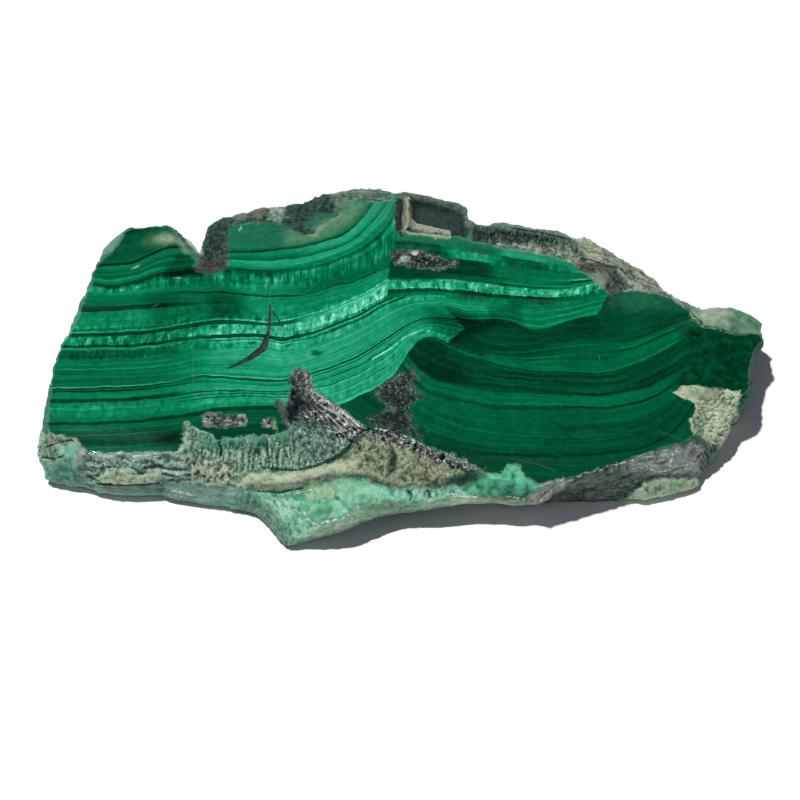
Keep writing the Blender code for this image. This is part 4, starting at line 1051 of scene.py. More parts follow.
        outline=[(-29.4, -14.1), (-28.4, -13.6), (-27.6, -14.3), (-27.3, -15.3), (-28.3, -15.8),
                 (-29.3, -15.4)],
        light=(186, 192, 176), dark=(52, 72, 60), glint=1.0, height=0.15, crystals=0.6,
    ),
    "vug_c": vug(
        outline=[(-27.2, -15.2), (-26.5, -13.9), (-25.9, -12.8), (-25.4, -14.0), (-25, -14.5),
                 (-25.1, -15.3), (-25.9, -15.8), (-26.7, -15.6)],
        light=(196, 204, 192), dark=(40, 64, 54), shade=0.5, glint=1.2, height=0.15, crystals=0.6,
    ),
    "vug_d": vug(
        outline=[(-22.8, -15.1), (-22.2, -13.9), (-21.6, -13.6), (-20.9, -14.5), (-20.1, -15.1),
                 (-20.8, -15.8), (-22.1, -15.8)],
        light=(176, 184, 170), dark=(40, 64, 54), shade=0.6, glint=0.9, height=0.15, crystals=0.5,
    ),
    "glitter": dict(
        outline=[(-1.6, 22.9), (-1.0, 19.8), (3.4, 18.8), (9.0, 19.0), (10.2, 20.2), (4.6, 22.2),
                 (2.0, 23.2)],
        blur=0.8, ragged=0.7, light=(92, 118, 100), dark=(6, 34, 26), shade=0.5, mix=(1.1, 0.4, 0.0),
        bias=-0.18,
        glint=0.55, gloss=0.3, relief=lambda q, f: 0.5 * crumbs(q / 0.6),
    ),
    "glitter_pale": dict(
        outline=[(-0.2, 21.2), (0.4, 21.9), (1.4, 21.2), (1.8, 20.2), (0.8, 19.7), (-0.2, 20.2)],
        blur=0.4, light=(176, 196, 182), dark=(110, 138, 122), mix=(0.4, 0.4, 0.0), glint=0.3,
        relief=lambda q, f: 0.25 + 0.2 * crumbs(q / 0.6),
    ),
    "right_rind": dict(
        outline=[(30.0, 19.6), (36.0, 12.4), (38.3, 13.7), (43.9, 13.0), (46.6, 11.5), (48.2, 9.8),
                 (50, 11), (46, 20), (36, 30), (30, 31)],
        blur=0.4, ragged=0.3, light=(192, 204, 178), dark=(38, 68, 52), shade=0.6, mix=(0.4, 0.6, 0.9),
        bias=0.0,
        flow=(-38, 2.8, 0.6), glint=0.2,
        relief=lambda q, f: 0.34 * fractal((f + 0.6 * fractal(q / 2.0, 2)[:, None]) / (1.2, 1.0, 1.4))
        + 0.1 * fractal(q / 0.5, seed=3),
    ),
    "rind_beige": dict(
        outline=[(26.9, 23.8), (30.3, 22.0), (32.8, 19.9), (34.8, 20.0), (35.6, 22.6), (33.1, 25.0),
                 (30.5, 26.0)],
        blur=0.9, ragged=0.7, light=(190, 194, 168), dark=(96, 110, 88), mix=(0.4, 0.7, 0.2),
        relief=lambda q, f: 0.18 * fractal(q / 1.0),
    ),
    "notch_brown": dict(
        outline=[(31.0, 17.8), (34.4, 18.8), (36.2, 17.6), (35.6, 14.4), (36.2, 12.4), (38.2, 13.6),
                 (38.4, 15.6), (37.4, 17.8), (36.0, 19.8), (31.0, 20.0)],
        blur=0.6, ragged=0.6, light=(136, 146, 124), dark=(22, 42, 34), shade=0.45, mix=(0.6, 0.6, 0.0),
        bias=-0.1,
        relief=lambda q, f: 0.28 * fractal(q / 0.8),
    ),
    "lobe": dict(
        outline=[(47.6, 11.2), (48.6, 9.9), (50.4, 6.7), (51.7, 5.4), (54.0, 4.8), (57.2, 3.7),
                 (59.5, 4.2), (60.8, 3.6), (63, 8), (58, 12.5), (51, 13)],
        blur=0.35, ragged=0.2, light=(124, 172, 140), dark=(54, 112, 82), shade=0.65, mix=(0.12, 0.8, 0.2),
        gloss=0.5,
        relief=lambda q, f: 0.12 * fractal(q / 2.0, 3),
    ),
    "lobe_white": dict(
        outline=[(49.4, 8.6), (51.7, 10.4), (54.7, 10.0), (56.2, 8.4), (54.9, 5.9), (52.6, 5.7),
                 (50.6, 7.0)],
        blur=1.4, ragged=0.8, light=(198, 208, 184), dark=(120, 152, 124), shade=0.75, mix=(0.2, 0.7, 0.3),
        gloss=0.5, relief=lambda q, f: 0.10 * fractal(q / 1.2, 3),
    ),
    "recess": dict(
        outline=[(0.4, 27.6), (4.1, 26.9), (9.3, 26.2), (11.9, 25.6), (12.8, 28.0), (12.2, 31.8),
                 (7.1, 33.6), (2.1, 35.0), (0.4, 36)],
        blur=0.4, ragged=0.3, light=(58, 92, 84), dark=(16, 44, 44), shade=0.65, mix=(0.4, 0.5, 0.5),
        bias=-0.05,
        flow=(86, 2.0, 0.4), relief=lambda q, f: 0.08 * fractal(f),
    ),
    "recess_rim": dict(
        outline=[(-0.8, 36.6), (0.5, 35.9), (2.1, 35.2), (4.4, 34.2), (7.1, 33.5), (9.8, 32.2),
                 (11.0, 31.0), (11.4, 28.4), (13.4, 28.0), (13.6, 36), (0, 41)],
        blur=0.4, ragged=0.25, light=(142, 162, 140), dark=(58, 84, 68), shade=0.5, mix=(0.5, 0.6, 0.3),
        bias=0.0,
        flow=(-20, 2.0, 0.5), relief=lambda q, f: 0.16 * fractal(q / 0.8),
    ),
    "recess_strip": dict(
        outline=[(0.5, 35.4), (1.8, 35.2), (2.2, 34), (2.0, 31.9), (2.2, 29.5), (3, 28.4), (5.2, 27.8),
                 (7.6, 27.0), (9.0, 26.4), (9.1, 25.2), (7, 25.4), (3.5, 26.4), (0.3, 27.0),
                 (0.4, 29.5), (0.6, 32.3)],
        blur=0.5, ragged=0.3, light=(206, 206, 180), dark=(120, 130, 108), shade=0.65, mix=(0.4, 0.6, 0.2),
        bias=0.05,
        rise=1.3, relief=lambda q, f: 0.12 * fractal(q / 0.8),
    ),
    # A narrow gap along the recess's left wall, painted near black: painted shadow of that wall.
    "recess_gap_shadow": dict(
        outline=[(-0.7, 35.2), (0.4, 35.2), (0.5, 33.8), (0.4, 29.5), (0.2, 27.4), (0.9, 26.4),
                 (0.2, 25.9), (-0.9, 27.4), (-0.9, 31.2)],
        blur=0.3, ragged=0.25, light=(44, 60, 48), dark=(8, 18, 14), shade=0.45, mix=(0.4, 0.5, 0.0),
        bias=-0.1,
        relief=lambda q, f: -0.3 + 0.1 * fractal(q / 0.6),
    ),
    "ledge": dict(
        outline=[(12.4, 25.4), (14.8, 24.5), (19.0, 23.2), (23.6, 22.4), (30.4, 20.1), (32.4, 21.0),
                 (30.4, 25.2), (25.2, 27.2), (20.2, 28.3), (16.4, 28.6), (12.6, 29.0)],
        blur=0.6, ragged=0.4, light=(112, 138, 118), dark=(16, 46, 42), shade=0.7, mix=(0.6, 0.5, 0.9),
        bias=-0.16,
        flow=(84, 1.8, 0.45), glint=0.2, relief=lambda q, f: 0.24 * fractal(f) + 0.1 * crumbs(q / 0.5),
    ),
    "ledge_spots": dict(
        outline=[(17.0, 24.2), (20.0, 23.1), (23.6, 22.6), (27.0, 21.4), (30.2, 20.3), (31.8, 21.0),
                 (29.0, 23.2), (25.4, 24.2), (21.0, 24.4)],
        blur=0.7, ragged=0.8, light=(202, 206, 180), dark=(54, 80, 66), shade=0.8, mix=(0.5, 0.7, 0.4),
        bias=0.04,
        flow=(84, 1.6, 0.5), relief=lambda q, f: 0.24 * fractal(q / 0.8),
    ),
    "ledge_back": dict(
        outline=[(12.2, 29.4), (14.0, 28.8), (17, 29.0), (20.1, 28.2), (24.4, 27.4), (28.4, 26.2),
                 (31.0, 27.2), (24, 33), (12, 34)],
        blur=0.3, ragged=0.25, light=(170, 182, 164), dark=(78, 98, 84), shade=0.55, mix=(0.4, 0.6, 0.3),
        flow=(-14, 2.0, 0.5), relief=lambda q, f: 0.16 * fractal(q / 0.8),
    ),
    "arc_rim": dict(
        outline=[(-11.4, 31.0), (-10.6, 32.6), (-9.5, 34.4), (-6.5, 34.9), (-4.5, 34.3), (-0.9, 34.9),
                 (-0.9, 36.5), (0.6, 40), (-8, 41), (-14.5, 39), (-13.4, 35.4), (-12.6, 33.4)],
        blur=0.5, ragged=0.45, light=(166, 192, 168), dark=(24, 88, 62), shade=0.5, mix=(0.4, 0.9, 0.3),
        bias=0.0,
        flow=(4, 2.0, 0.6), relief=lambda q, f: 0.2 * fractal(q / 1.0),
    ),
    "blue_black": dict(
        outline=[(-21.4, 29.4), (-19.6, 27.9), (-16.6, 26.4), (-15.4, 26.0), (-14.9, 28.2),
                 (-12.2, 30.2), (-10.8, 31.4), (-11.6, 33.6), (-12.6, 36.4), (-14.0, 39), (-19, 37),
                 (-20.4, 33.5)],
        blur=0.7, ragged=0.6, light=(72, 120, 98), dark=(16, 50, 44), shade=0.6, mix=(0.45, 0.7, 0.4),
        bias=-0.12,
        flow=(-40, 1.6, 0.5), relief=lambda q, f: 0.3 * fractal(q / 0.9),
    ),
    "green_window": dict(
        outline=[(-16.6, 29.0), (-14.6, 28.5), (-12.8, 30.2), (-11.8, 31.4), (-13.0, 31.6),
                 (-15.8, 31.0)],
        blur=0.8, ragged=0.6, light=(40, 124, 92), dark=(12, 74, 56), mix=(0.2, 0.6, 0.0),
        relief=lambda q, f: 0.08 * fractal(q / 1.0),
    ),
    "back_bumps": dict(
        outline=[(-31.6, 28.4), (-22.9, 29.7), (-19.6, 28.6), (-20.6, 33.5), (-20.6, 36), (-33, 35)],
        blur=0.5, ragged=0.4, light=(120, 162, 134), dark=(20, 66, 50), shade=0.45, mix=(0.4, 0.9, 0.2),
        bias=-0.08,
        relief=lambda q, f: 0.36 * fractal(q / 1.5) + 0.1 * fractal(q / 0.5, seed=5),
    ),
    "bump_a": dict(
        outline=[(-29.2, 31.8), (-27.0, 32.0), (-26.6, 30.2), (-28.6, 29.6)],
        blur=0.8, ragged=0.5, light=(190, 200, 180), dark=(96, 130, 104), shade=0.4, mix=(0.3, 0.6, 0.0),
        relief=lambda q, f: 0.3 + 0.1 * fractal(q),
    ),
    "bump_b": dict(
        outline=[(-25.8, 32.8), (-24.0, 32.8), (-23.4, 30.8), (-24.8, 30.0), (-26.0, 31.0)],
        blur=0.7, ragged=0.5, light=(168, 164, 142), dark=(84, 92, 74), shade=0.5, mix=(0.3, 0.6, 0.0),
        relief=lambda q, f: 0.3 + 0.1 * fractal(q),
    ),
    "bump_c": dict(
        outline=[(-23.2, 32.8), (-20.6, 32.8), (-19.8, 30.6), (-21.2, 29.4), (-22.9, 30.0)],
        blur=0.7, ragged=0.5, light=(206, 218, 206), dark=(98, 146, 120), shade=0.5, mix=(0.3, 0.6, 0.3),
        flow=(60, 1.5, 0.5), relief=lambda q, f: 0.25 + 0.12 * fractal(q), glint=0.4,
    ),
    "notch_left": dict(
        outline=[(-33.6, 17.6), (-30.8, 17.8), (-29.7, 19.5), (-29.8, 28.6), (-32.0, 31.6),
                 (-34.4, 29.8), (-35.2, 23)],
        blur=0.6, ragged=0.5, light=(68, 112, 92), dark=(12, 44, 38), shade=0.5, mix=(0.6, 0.7, 0.0),
        bias=-0.12,
        glint=0.12, relief=lambda q, f: 0.3 * fractal(q / 0.9),
    ),
    "notch_grey": dict(
        outline=[(-35.4, 18.0), (-31.6, 17.2), (-30.4, 18.4), (-31.4, 20.4), (-33.4, 21.2),
                 (-35.0, 20.6)],
        blur=0.6, ragged=0.5, light=(134, 140, 124), dark=(34, 50, 42), shade=0.4, mix=(0.6, 0.6, 0.4),
        bias=-0.06,
        flow=(-40, 1.6, 0.4), relief=lambda q, f: 0.24 * fractal(q / 0.8),
    ),
    "twist": dict(
        outline=[(-37.3, 25.2), (-37.2, 27.0), (-35.9, 26.0), (-34.7, 23.8), (-33.9, 21.5),
                 (-34.8, 21.2), (-36.1, 23.4)],
        blur=0.35, ragged=0.25, light=(206, 210, 200), dark=(92, 112, 100), shade=0.85, mix=(0.2, 0.5, 0.8),
        flow=(-58, 2.0, 0.4), gloss=0.5, relief=lambda q, f: 0.15 + 0.1 * fractal(f),
    ),
    "lobe_facet": dict(
        outline=[(-52.6, 20.6), (-50.0, 22.5), (-48.7, 24.9), (-48.5, 26.9), (-47.6, 27.8), (-48.6, 29),
                 (-53, 28), (-54.6, 21)],
        blur=0.3, ragged=0.2, light=(124, 172, 150), dark=(82, 132, 110), shade=0.75, mix=(0.25, 0.6, 0.3),
        flow=(50, 2.0, 0.6), relief=lambda q, f: 0.06 * fractal(q / 1.4),
    ),
}

# Relief
outline_noise = fractal(np.column_stack([seen[:, :2], np.zeros(len(seen))]) / 1.3, 4, seed=31)
weights = {}
for name, zone in ZONES.items():
    setting = DEFAULTS | zone
    outline = np.array(zone["outline"], float)
    margin = 2.0 + setting["blur"] + setting["ragged"]
    near = ((seen[:, :2] > outline.min(0) - margin) & (seen[:, :2] < outline.max(0) + margin)).all(1)
    near &= faces_camera > 0.0
    weight = np.zeros(len(points))
    gap = signed_distance(seen[near], outline) + setting["ragged"] * outline_noise[near]
    weight[near] = eased(gap, setting["blur"]) * faces_camera[near]
    weights[name] = weight

fields = {key: np.zeros((len(points), 3)) for key in ("light", "dark", "mix")}
fields |= {key: np.zeros(len(points)) for key in ("bias", "gloss", "glint", "banded", "rise")}
streak_place = turned_in_plan(place, HIDDEN["flow"][0]) / (HIDDEN["flow"][1], HIDDEN["flow"][2], 1.0)
relief = np.zeros(len(points))
covered = np.zeros(len(points))


def linear(colour):
    """A colour given from 0 to 255 as the amounts of light that the shader takes."""
    c = np.array(colour) / 255.0
    return np.where(c <= 0.04045, c / 12.92, ((c + 0.055) / 1.055) ** 2.4)


def spread(zone, weight):
    """Lays a zone's settings over those below it, by its weight at each point."""
    global relief
    setting = DEFAULTS | zone
    some = weight > LEAST_WEIGHT
    share = np.where(polished[some], np.minimum(weight[some] * POLISH_GAIN, 1.0), weight[some])
    for key, field in fields.items():
        if key in ("light", "dark"):
            value = np.minimum(linear(setting[key]) * setting["shade"], 1.0)
        else:
            value = np.array(setting[key], float)
        part = share[:, None] if field.ndim == 2 else share
        field[some] = field[some] * (1.0 - part) + value * part
    angle, along, across = setting["flow"]
    flow = turned_in_plan(place[some], angle) / (along, across, max(across, 0.6))
    active = some & ~resting & ~polished
    shape = np.zeros(len(points))
    shape[some] = np.where(active[some], setting["relief"](place[some], flow), 0.0)
    relief = relief * (1.0 - weight) + shape * weight
    wins = some.copy()
    wins[some] = share > 0.5
    streak_place[wins] = flow[share > 0.5]


spread(HIDDEN, np.ones(len(points)))
for name, zone in ZONES.items():
    spread(zone, weights[name])
    covered = np.maximum(covered, weights[name])

fade = np.where(polished, 0.0, smoothstep(edge_gap / RELIEF_START)) * smoothstep(points[:, 2] / RELIEF_RISE)
moved = points + normals * (relief * fade)[:, None]
lifted = np.where((points[:, 2] < FACE_Z - 0.3) & (points[:, 2] > 4.0), fields["rise"], 0.0)
moved[:, 2] = np.minimum(moved[:, 2] + lifted * fade, np.maximum(moved[:, 2], FACE_Z - 0.5))

# Broken outline and chipped lip of the polished face, and the cracks in it
plan = np.column_stack([place[:, :2], np.zeros(len(place))])
near_edge = np.exp(-((edge_gap / EDGE_REACH) ** 2))
moved[:, 0] += EDGE_WANDER * near_edge * fractal(plan / 1.5, 4, seed=41)
moved[:, 1] += EDGE_WANDER * near_edge * fractal(plan / 1.5, 4, seed=47)
lip = np.where(polished, np.clip(1.0 - edge_gap / LIP_WIDTH, 0.0, 1.0), 0.0)
moved[:, 2] -= lip * LIP_DEPTH * np.clip(fractal(plan / 0.9, 3, seed=53) - 0.05, 0.0, 0.8)
crack, crack_cut = crack_depth(place)
moved[:, 2] -= np.where(polished, crack_cut, 0.0)
line_gap = {
    "white_line": line_distance(seen, WHITE_LINES),
    "dark_line": line_distance(seen, DARK_LINES),
    "scratch": line_distance(seen, SCRATCHES),
}
groove = smoothstep(0.5 - line_gap["dark_line"] / GROOVE_SOFTNESS) * fade
moved -= normals * (GROOVE_DEPTH * groove)[:, None]

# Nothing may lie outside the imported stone's box, and the resting face stays flat.
low, high = (np.array(corner) / MM + MIDDLE for corner in cad_box)
moved = np.clip(moved, low, high)
moved[:, 2] = np.where(resting, points[:, 2], moved[:, 2])

# How far each vertex stands above its neighbours, and above a wider area, -1 to 1; the material paints pits
# and hollows darker from these, as painted shade
final_normals = vertex_normals(moved, tris)
soft = moved
for _ in range(HOLLOW_ROUNDS):
    soft = neighbour_mean(soft)
cavity = np.clip(((moved - neighbour_mean(moved)) * final_normals).sum(1) / PIT_DEPTH, -1.0, 1.0)
hollow = np.clip(((moved - soft) * final_normals).sum(1) / HOLLOW_DEPTH, -1.0, 1.0)
on_polish = polished & (edge_gap > POLISH_MARGIN)
cavity[on_polish] = 0.0
hollow[on_polish] = 0.0


def add_object(name, data):
    made = bpy.data.objects.new(name, data)
    bpy.context.scene.collection.objects.link(made)
    return made


mesh = bpy.data.meshes.new("malachite_slab")
mesh.from_pydata((moved - MIDDLE) * MM, [], tris)
mesh.update()
slab = add_object("malachite_slab", mesh)
mesh.shade_smooth()
mesh.set_sharp_from_angle(angle=SHARP_ANGLE)
sharp = mesh.attributes.get("sharp_edge") or mesh.attributes.new("sharp_edge", "BOOLEAN", "EDGE")


def edge_keys(ends):
    """One number for each edge, whichever way round its ends are."""
    ends = np.sort(ends, axis=1)
    return ends[:, 0] * len(points) + ends[:, 1]


# The edge of the polish is sharp as well.
ends = np.empty(len(mesh.edges) * 2, int)
mesh.edges.foreach_get("vertices", ends)
is_sharp = np.zeros(len(mesh.edges), bool)
sharp.data.foreach_get("value", is_sharp)
is_sharp |= np.isin(edge_keys(ends.reshape(-1, 2)), edge_keys(border(tris[flat])))
sharp.data.foreach_set("value", is_sharp)


# Fields that the material reads
def store(name, values):
    """Keeps one number or one vector for each vertex."""
    kind = "FLOAT_VECTOR" if np.ndim(values) == 2 else "FLOAT"
    attribute = mesh.attributes.new(name, kind, "POINT")
    key = "vector" if kind == "FLOAT_VECTOR" else "value"
    attribute.data.foreach_set(key, np.ascontiguousarray(values, dtype=np.float32).ravel())


# Broad lighter or darker stretches of the polished face: outline, blur, change of tone
LIFTS = [
    ([(-43.5, 13.0), (-38, 16.6), (-31, 17.0), (-27.5, 13.2), (-28, 7.4), (-36, 6.2),
      (-42, 5.2)], 2.0, -0.12),
    ([(-32.5, 12.6), (-27.0, 12.4), (-25.4, 9.0), (-28, 7.6), (-32, 7.9)], 1.2, -0.16),
    ([(-46, 3.6), (-36, 5.0), (-36, 3.0), (-46, 1.6)], 1.2, -0.12),
    ([(-40.5, -16.6), (-36.0, -16.8), (-35.4, -19.6), (-40.5, -19.8)], 1.0, -0.14),
    ([(-40.3, 18.8), (-38.1, 22.1), (-35.9, 20.6), (-34.8, 18.6), (-33.5, 17.6), (-33.5, 16.4),
      (-36.9, 16.4), (-40.2, 16.9)], 0.9, -0.22),
    ([(14.9, 10.2), (14.9, 6.6), (20.6, 6.0), (20.6, 10.4)], 0.5, -0.13),
    ([(9.6, 13.4), (9.6, 11.9), (14.4, 11.7), (14.4, 13.2)], 0.5, -0.1),
    ([(-2, 12.6), (14, 12.6), (30, 12.0), (36, 13.4), (33, 8), (24, 5), (10, 6.4), (2, 7),
      (-2, 8)], 0.9, -0.07),
    ([(-20, -2), (-8, 2), (-2, 9), (-4, 14), (-14, 8), (-26, 6), (-30, 0)], 3.0, 0.03),
    ([(2.8, 2.6), (6.8, 2.2), (8.4, -1.0), (10.8, -4.8), (8.0, -6.4), (4.4, -3.8), (2.4, 0)], 1.5, -0.10),
    ([(46.5, -7.0), (50, 3.8), (58, 3.0), (60, 1), (58, -9), (52, -8)], 1.2, -0.06),
    ([(-60, 0), (-34, 0), (-34, -15), (-60, -15)], 4.0, -0.04),
    ([(5.0, 9.2), (12.5, 7.8), (14.4, 5.8), (10.5, 4.0), (8.6, 2.2), (6.6, 4.4), (5.2, 6.5)], 2.2, -0.24),
]
lift = np.zeros(len(place))
for outline, blur, change in LIFTS:
    lift += change * eased(signed_distance(seen, outline), blur)

# Stretches over the bands painted paler and greyer near the polish's curved edges, painted sheen where they
# mirror the room: outline, blur, amount
GREY_SHEEN = [
    ([(-30, 28.6), (-22.9, 29.8), (-15.6, 26.2), (-14, 25.4), (-20, 23.6), (-30, 23.0)], 1.6, 0.5),
    ([(35.4, 9.8), (44.6, 9.3), (48.6, 9.8), (46.6, 11.8), (41, 14.4), (38.3, 14.1),
      (35.8, 12.6)], 1.6, 0.42),
    ([(-0.6, 27.6), (4.1, 26.8), (11.6, 25.2), (14, 24.2), (10, 23.8), (0, 25.2)], 0.9, 0.5),
    ([(14, 24.6), (23.6, 22.4), (30.4, 20.0), (30, 19.0), (22, 21.4), (14, 23.4)], 0.8, 0.4),
    ([(-10, 34), (-1, 34.6), (-1, 31), (-4, 29), (-8, 30)], 1.6, 0.4),
    ([(-54, -15.6), (-44, -16.2), (-38, -17.2), (-40, -18.6), (-50, -18.4), (-54, -17.4)], 1.0, 0.35),
    ([(-51.6, -19.6), (-44, -19.4), (-36, -19.2), (-36, -21), (-51, -22)], 0.8, 0.35),
]
BEIGE_SHEEN = [
    ([(-20, 27.6), (-15.8, 26.6), (-14.8, 28.4), (-11, 31.2), (-9.6, 34.5), (-6.4, 34.9), (-6.6, 32.2),
      (-8.4, 29.4), (-11.4, 27.0), (-15.6, 25.0), (-20, 24.4)], 1.2, 0.72),
    ([(-44.5, 24.6), (-43, 26.4), (-40.4, 26.6), (-39.4, 25.4), (-41.4, 24.0)], 1.4, 0.6),
]
RIM_SHEEN = [
    ([(-15.9, 26.4), (-15.2, 28.3), (-13.2, 30.0), (-11.2, 31.2), (-10.0, 31.2), (-12.2, 29.4), (-14.2, 27.6),
      (-14.8, 25.9)], 0.6, 0.75),
    ([(-42.4, 25.6), (-41.4, 26.7), (-39.6, 26.4), (-38.9, 25.0), (-41.0, 24.6)], 0.9, 0.8),
    ([(-38.6, 25.4), (-37.2, 24.4), (-36.4, 22.6), (-36.9, 22.4), (-38.4, 24.2)], 0.6, 0.6),
]

# Colours of the painted sheen stretches, of the brown lenses and of the specks
SHEEN_AND_MARK_COLOURS = {
    "grey_sheen": (52, 112, 88), "beige_sheen": (108, 148, 118), "rim_sheen": (168, 182, 150),
    "brown": (34, 60, 44), "specks": (190, 235, 215),
}


def strongest(areas):
    """The largest amount of several blurred areas at each point."""
    amounts = [amount * eased(signed_distance(seen, outline), blur) for outline, blur, amount in areas]
    return np.max(amounts, axis=0)


# Brown lenses: outline, blur, amount
BROWN = [
    ([(9.6, 13.2), (11.6, 13.3), (14.2, 12.7), (13.6, 12.1), (10.6, 12.3)], 0.4, 0.6),
    ([(22.3, 11.3), (24.2, 11.6), (26.2, 11.2), (25.4, 10.3), (23.2, 10.2)], 0.4, 0.7),
    ([(3.8, 17.0), (8.2, 17.4), (13.2, 16.0), (9.6, 16.1)], 0.5, 0.5),
    ([(11.2, 23.4), (16.0, 22.8), (15.6, 21.6), (11.8, 22.2)], 0.6, 0.8),
    ([(18.6, 19.2), (21, 18.8), (20.6, 17.6), (18.2, 18.2)], 0.8, 0.4),
    ([(46.6, 7.2), (49.6, 7.4), (50.0, 5.2), (47.2, 4.6)], 0.8, 0.4),
    ([(10.5, -21.2), (21.5, -22.2), (28, -22.6), (35, -22.0), (35, -22.8), (22, -23.6),
      (11, -22.6)], 0.8, 0.35),
    ([(-54, 10.2), (-46, 10.0), (-40, 9.8), (-40, 9.2), (-54, 9.2)], 0.7, 0.4),
    ([(-9.4, 27.6), (-7.4, 29.6), (-5.8, 32.4), (-5.4, 33.8), (-6.2, 32.8), (-8.0, 29.8),
      (-10, 27.9)], 0.3, 0.5),
]

# Small round marks: place and radius. Spots are dark, specks pale, sparks are painted highlights, the white
# glints of bright crystals, and the green dot lies on the broken surface.
SPOTS = [
    (-28.8, 1.2, 0.35), (-28.6, -0.8, 0.3), (-14.0, -0.2, 0.7), (-11.2, 0.9, 0.3), (-24.6, 2.0, 0.25),
    (-18.6, 1.6, 0.25), (33.2, -1.0, 0.3), (-30.6, 2.2, 0.25), (17.6, 14.9, 0.5), (18.2, 14.2, 0.4),
]
SPECKS = [
    (-28.0, 28.0, 0.16), (-41.6, 10.4, 0.14), (-38.0, 16.4, 0.12), (33.4, -1.4, 0.12), (-45.6, 18.9, 0.1),
]
SPARKS = [
    (1.5, 22.9, 0.22), (2.5, 21.9, 0.34), (4.8, 21.7, 0.22), (5.6, 21.3, 0.14), (7.4, 20.9, 0.12),
    (-0.4, 22.6, 0.12), (-30.9, -13.9, 0.16), (-26.1, -15.0, 0.2), (-9.0, -15.2, 0.3),
    (-9.9, -14.1, 0.26), (-11.8, -11.0, 0.2), (-7.4, -16.8, 0.16), (-12.8, -10.2, 0.22),
]
GREEN_DOT = (22.3, -25.4, 1.0)


def dots(spots, soft=0.3):
    """1 inside the round marks and 0 outside them."""
    near = np.min([np.hypot(seen[:, 0] - x, seen[:, 1] - y) - r for x, y, r in spots], axis=0)
    return smoothstep(0.5 - near / soft)


# Areas of the basin, of the right block and of the mottled right end; the first two run past the stone.
basin_area = BASIN_TOP + [(75, 20), (75, -60), (-16, -60)]
right_area = FAULT + [(75, 40), (75, 2.0), (13.4, 2.0), (6, 12.0), (-1.6, 12.2)]
end_area = [
    (47.5, 5.5), (50.6, 5.4), (54, 5.2), (62, 4), (60, -10), (53, -9), (45, -7.6), (46.4, -4), (48.4, -1),
]
END_BLUR = 1.6
share = faces_camera[:, None]
band_place = seen * share + place * (1.0 - share)
band_x, band_y = band_place[:, 0], band_place[:, 1]
for name, values in {
    "place": place,
    "streak_place": streak_place,
    "left_depth": bedding(band_x, band_y, LEFT_GUIDES),
    "right_depth": bedding(band_x, band_y, RIGHT_GUIDES),
    "basin_depth": bedding(band_x, band_y, BASIN_GUIDES),
    "in_basin": signed_distance(band_place, basin_area),
    "in_right": signed_distance(band_place, right_area),
    "inside_face": np.where(polished, edge_gap, np.where(resting, 0.5, -edge_gap)),
    "fold": path_distance(band_place, FOLD_LINE),
    "lift": lift,
    "grey_sheen": strongest(GREY_SHEEN),
    "beige_sheen": strongest(BEIGE_SHEEN),
    "rim_sheen": strongest(RIM_SHEEN),
    "brown": strongest(BROWN),
    "spots": dots(SPOTS),
    "specks": dots(SPECKS),
    "sparks": dots(SPARKS, 0.2),
    "crack": crack,
    "sawn": resting.astype(float),
    "cavity": cavity,
    "hollow": hollow,
    "covered": covered,
    "right_end": eased(signed_distance(seen, end_area), END_BLUR),
    "green_dot": 1.0 - np.hypot(seen[:, 0] - GREEN_DOT[0], seen[:, 1] - GREEN_DOT[1]) / GREEN_DOT[2],
}.items():
    store(name, values)
for key in ("light", "dark", "mix", "bias", "gloss", "glint", "banded"):
    store("zone_" + key, fields[key])
for key, values in line_gap.items():
    store(key, values)


# Colours of single features, 0 to 255
SCRATCH_PALE = (170, 214, 192)
CRACK_DARK, CRACK_LIGHT = (5, 22, 22), (34, 62, 56)
LINE_DARK, LINE_WHITE = (12, 30, 22), (226, 232, 216)
GLINT_WHITE, SPARK_WHITE = (236, 240, 232), (244, 246, 240)
DOT_GREEN, RUBBED_AND_LIT_GREEN, SAWN_GREEN = (30, 126, 92), (110, 170, 138), (96, 130, 110)
FLOOR_GREY, FLOOR_WHITE = (249, 249, 249), (252, 252, 252)
GREENER = (0.62, 1.0, 0.78, 1.0)

# Roughness of the polish, of glints, of cracks and of the sawn underside
POLISH_ROUGHNESS, GLINT_ROUGHNESS, CRACK_ROUGHNESS, SAWN_ROUGHNESS = 0.15, 0.25, 0.5, 0.6

# The most beds that one colour ramp takes, and the most millimetres. It holds 32 stops, two for each bed.
BEDS_PER_RAMP = 14
RAMP_LENGTH = 12.0


# Material
def opaque(colour):
    return (*(float(v) for v in linear(colour)), 1.0)


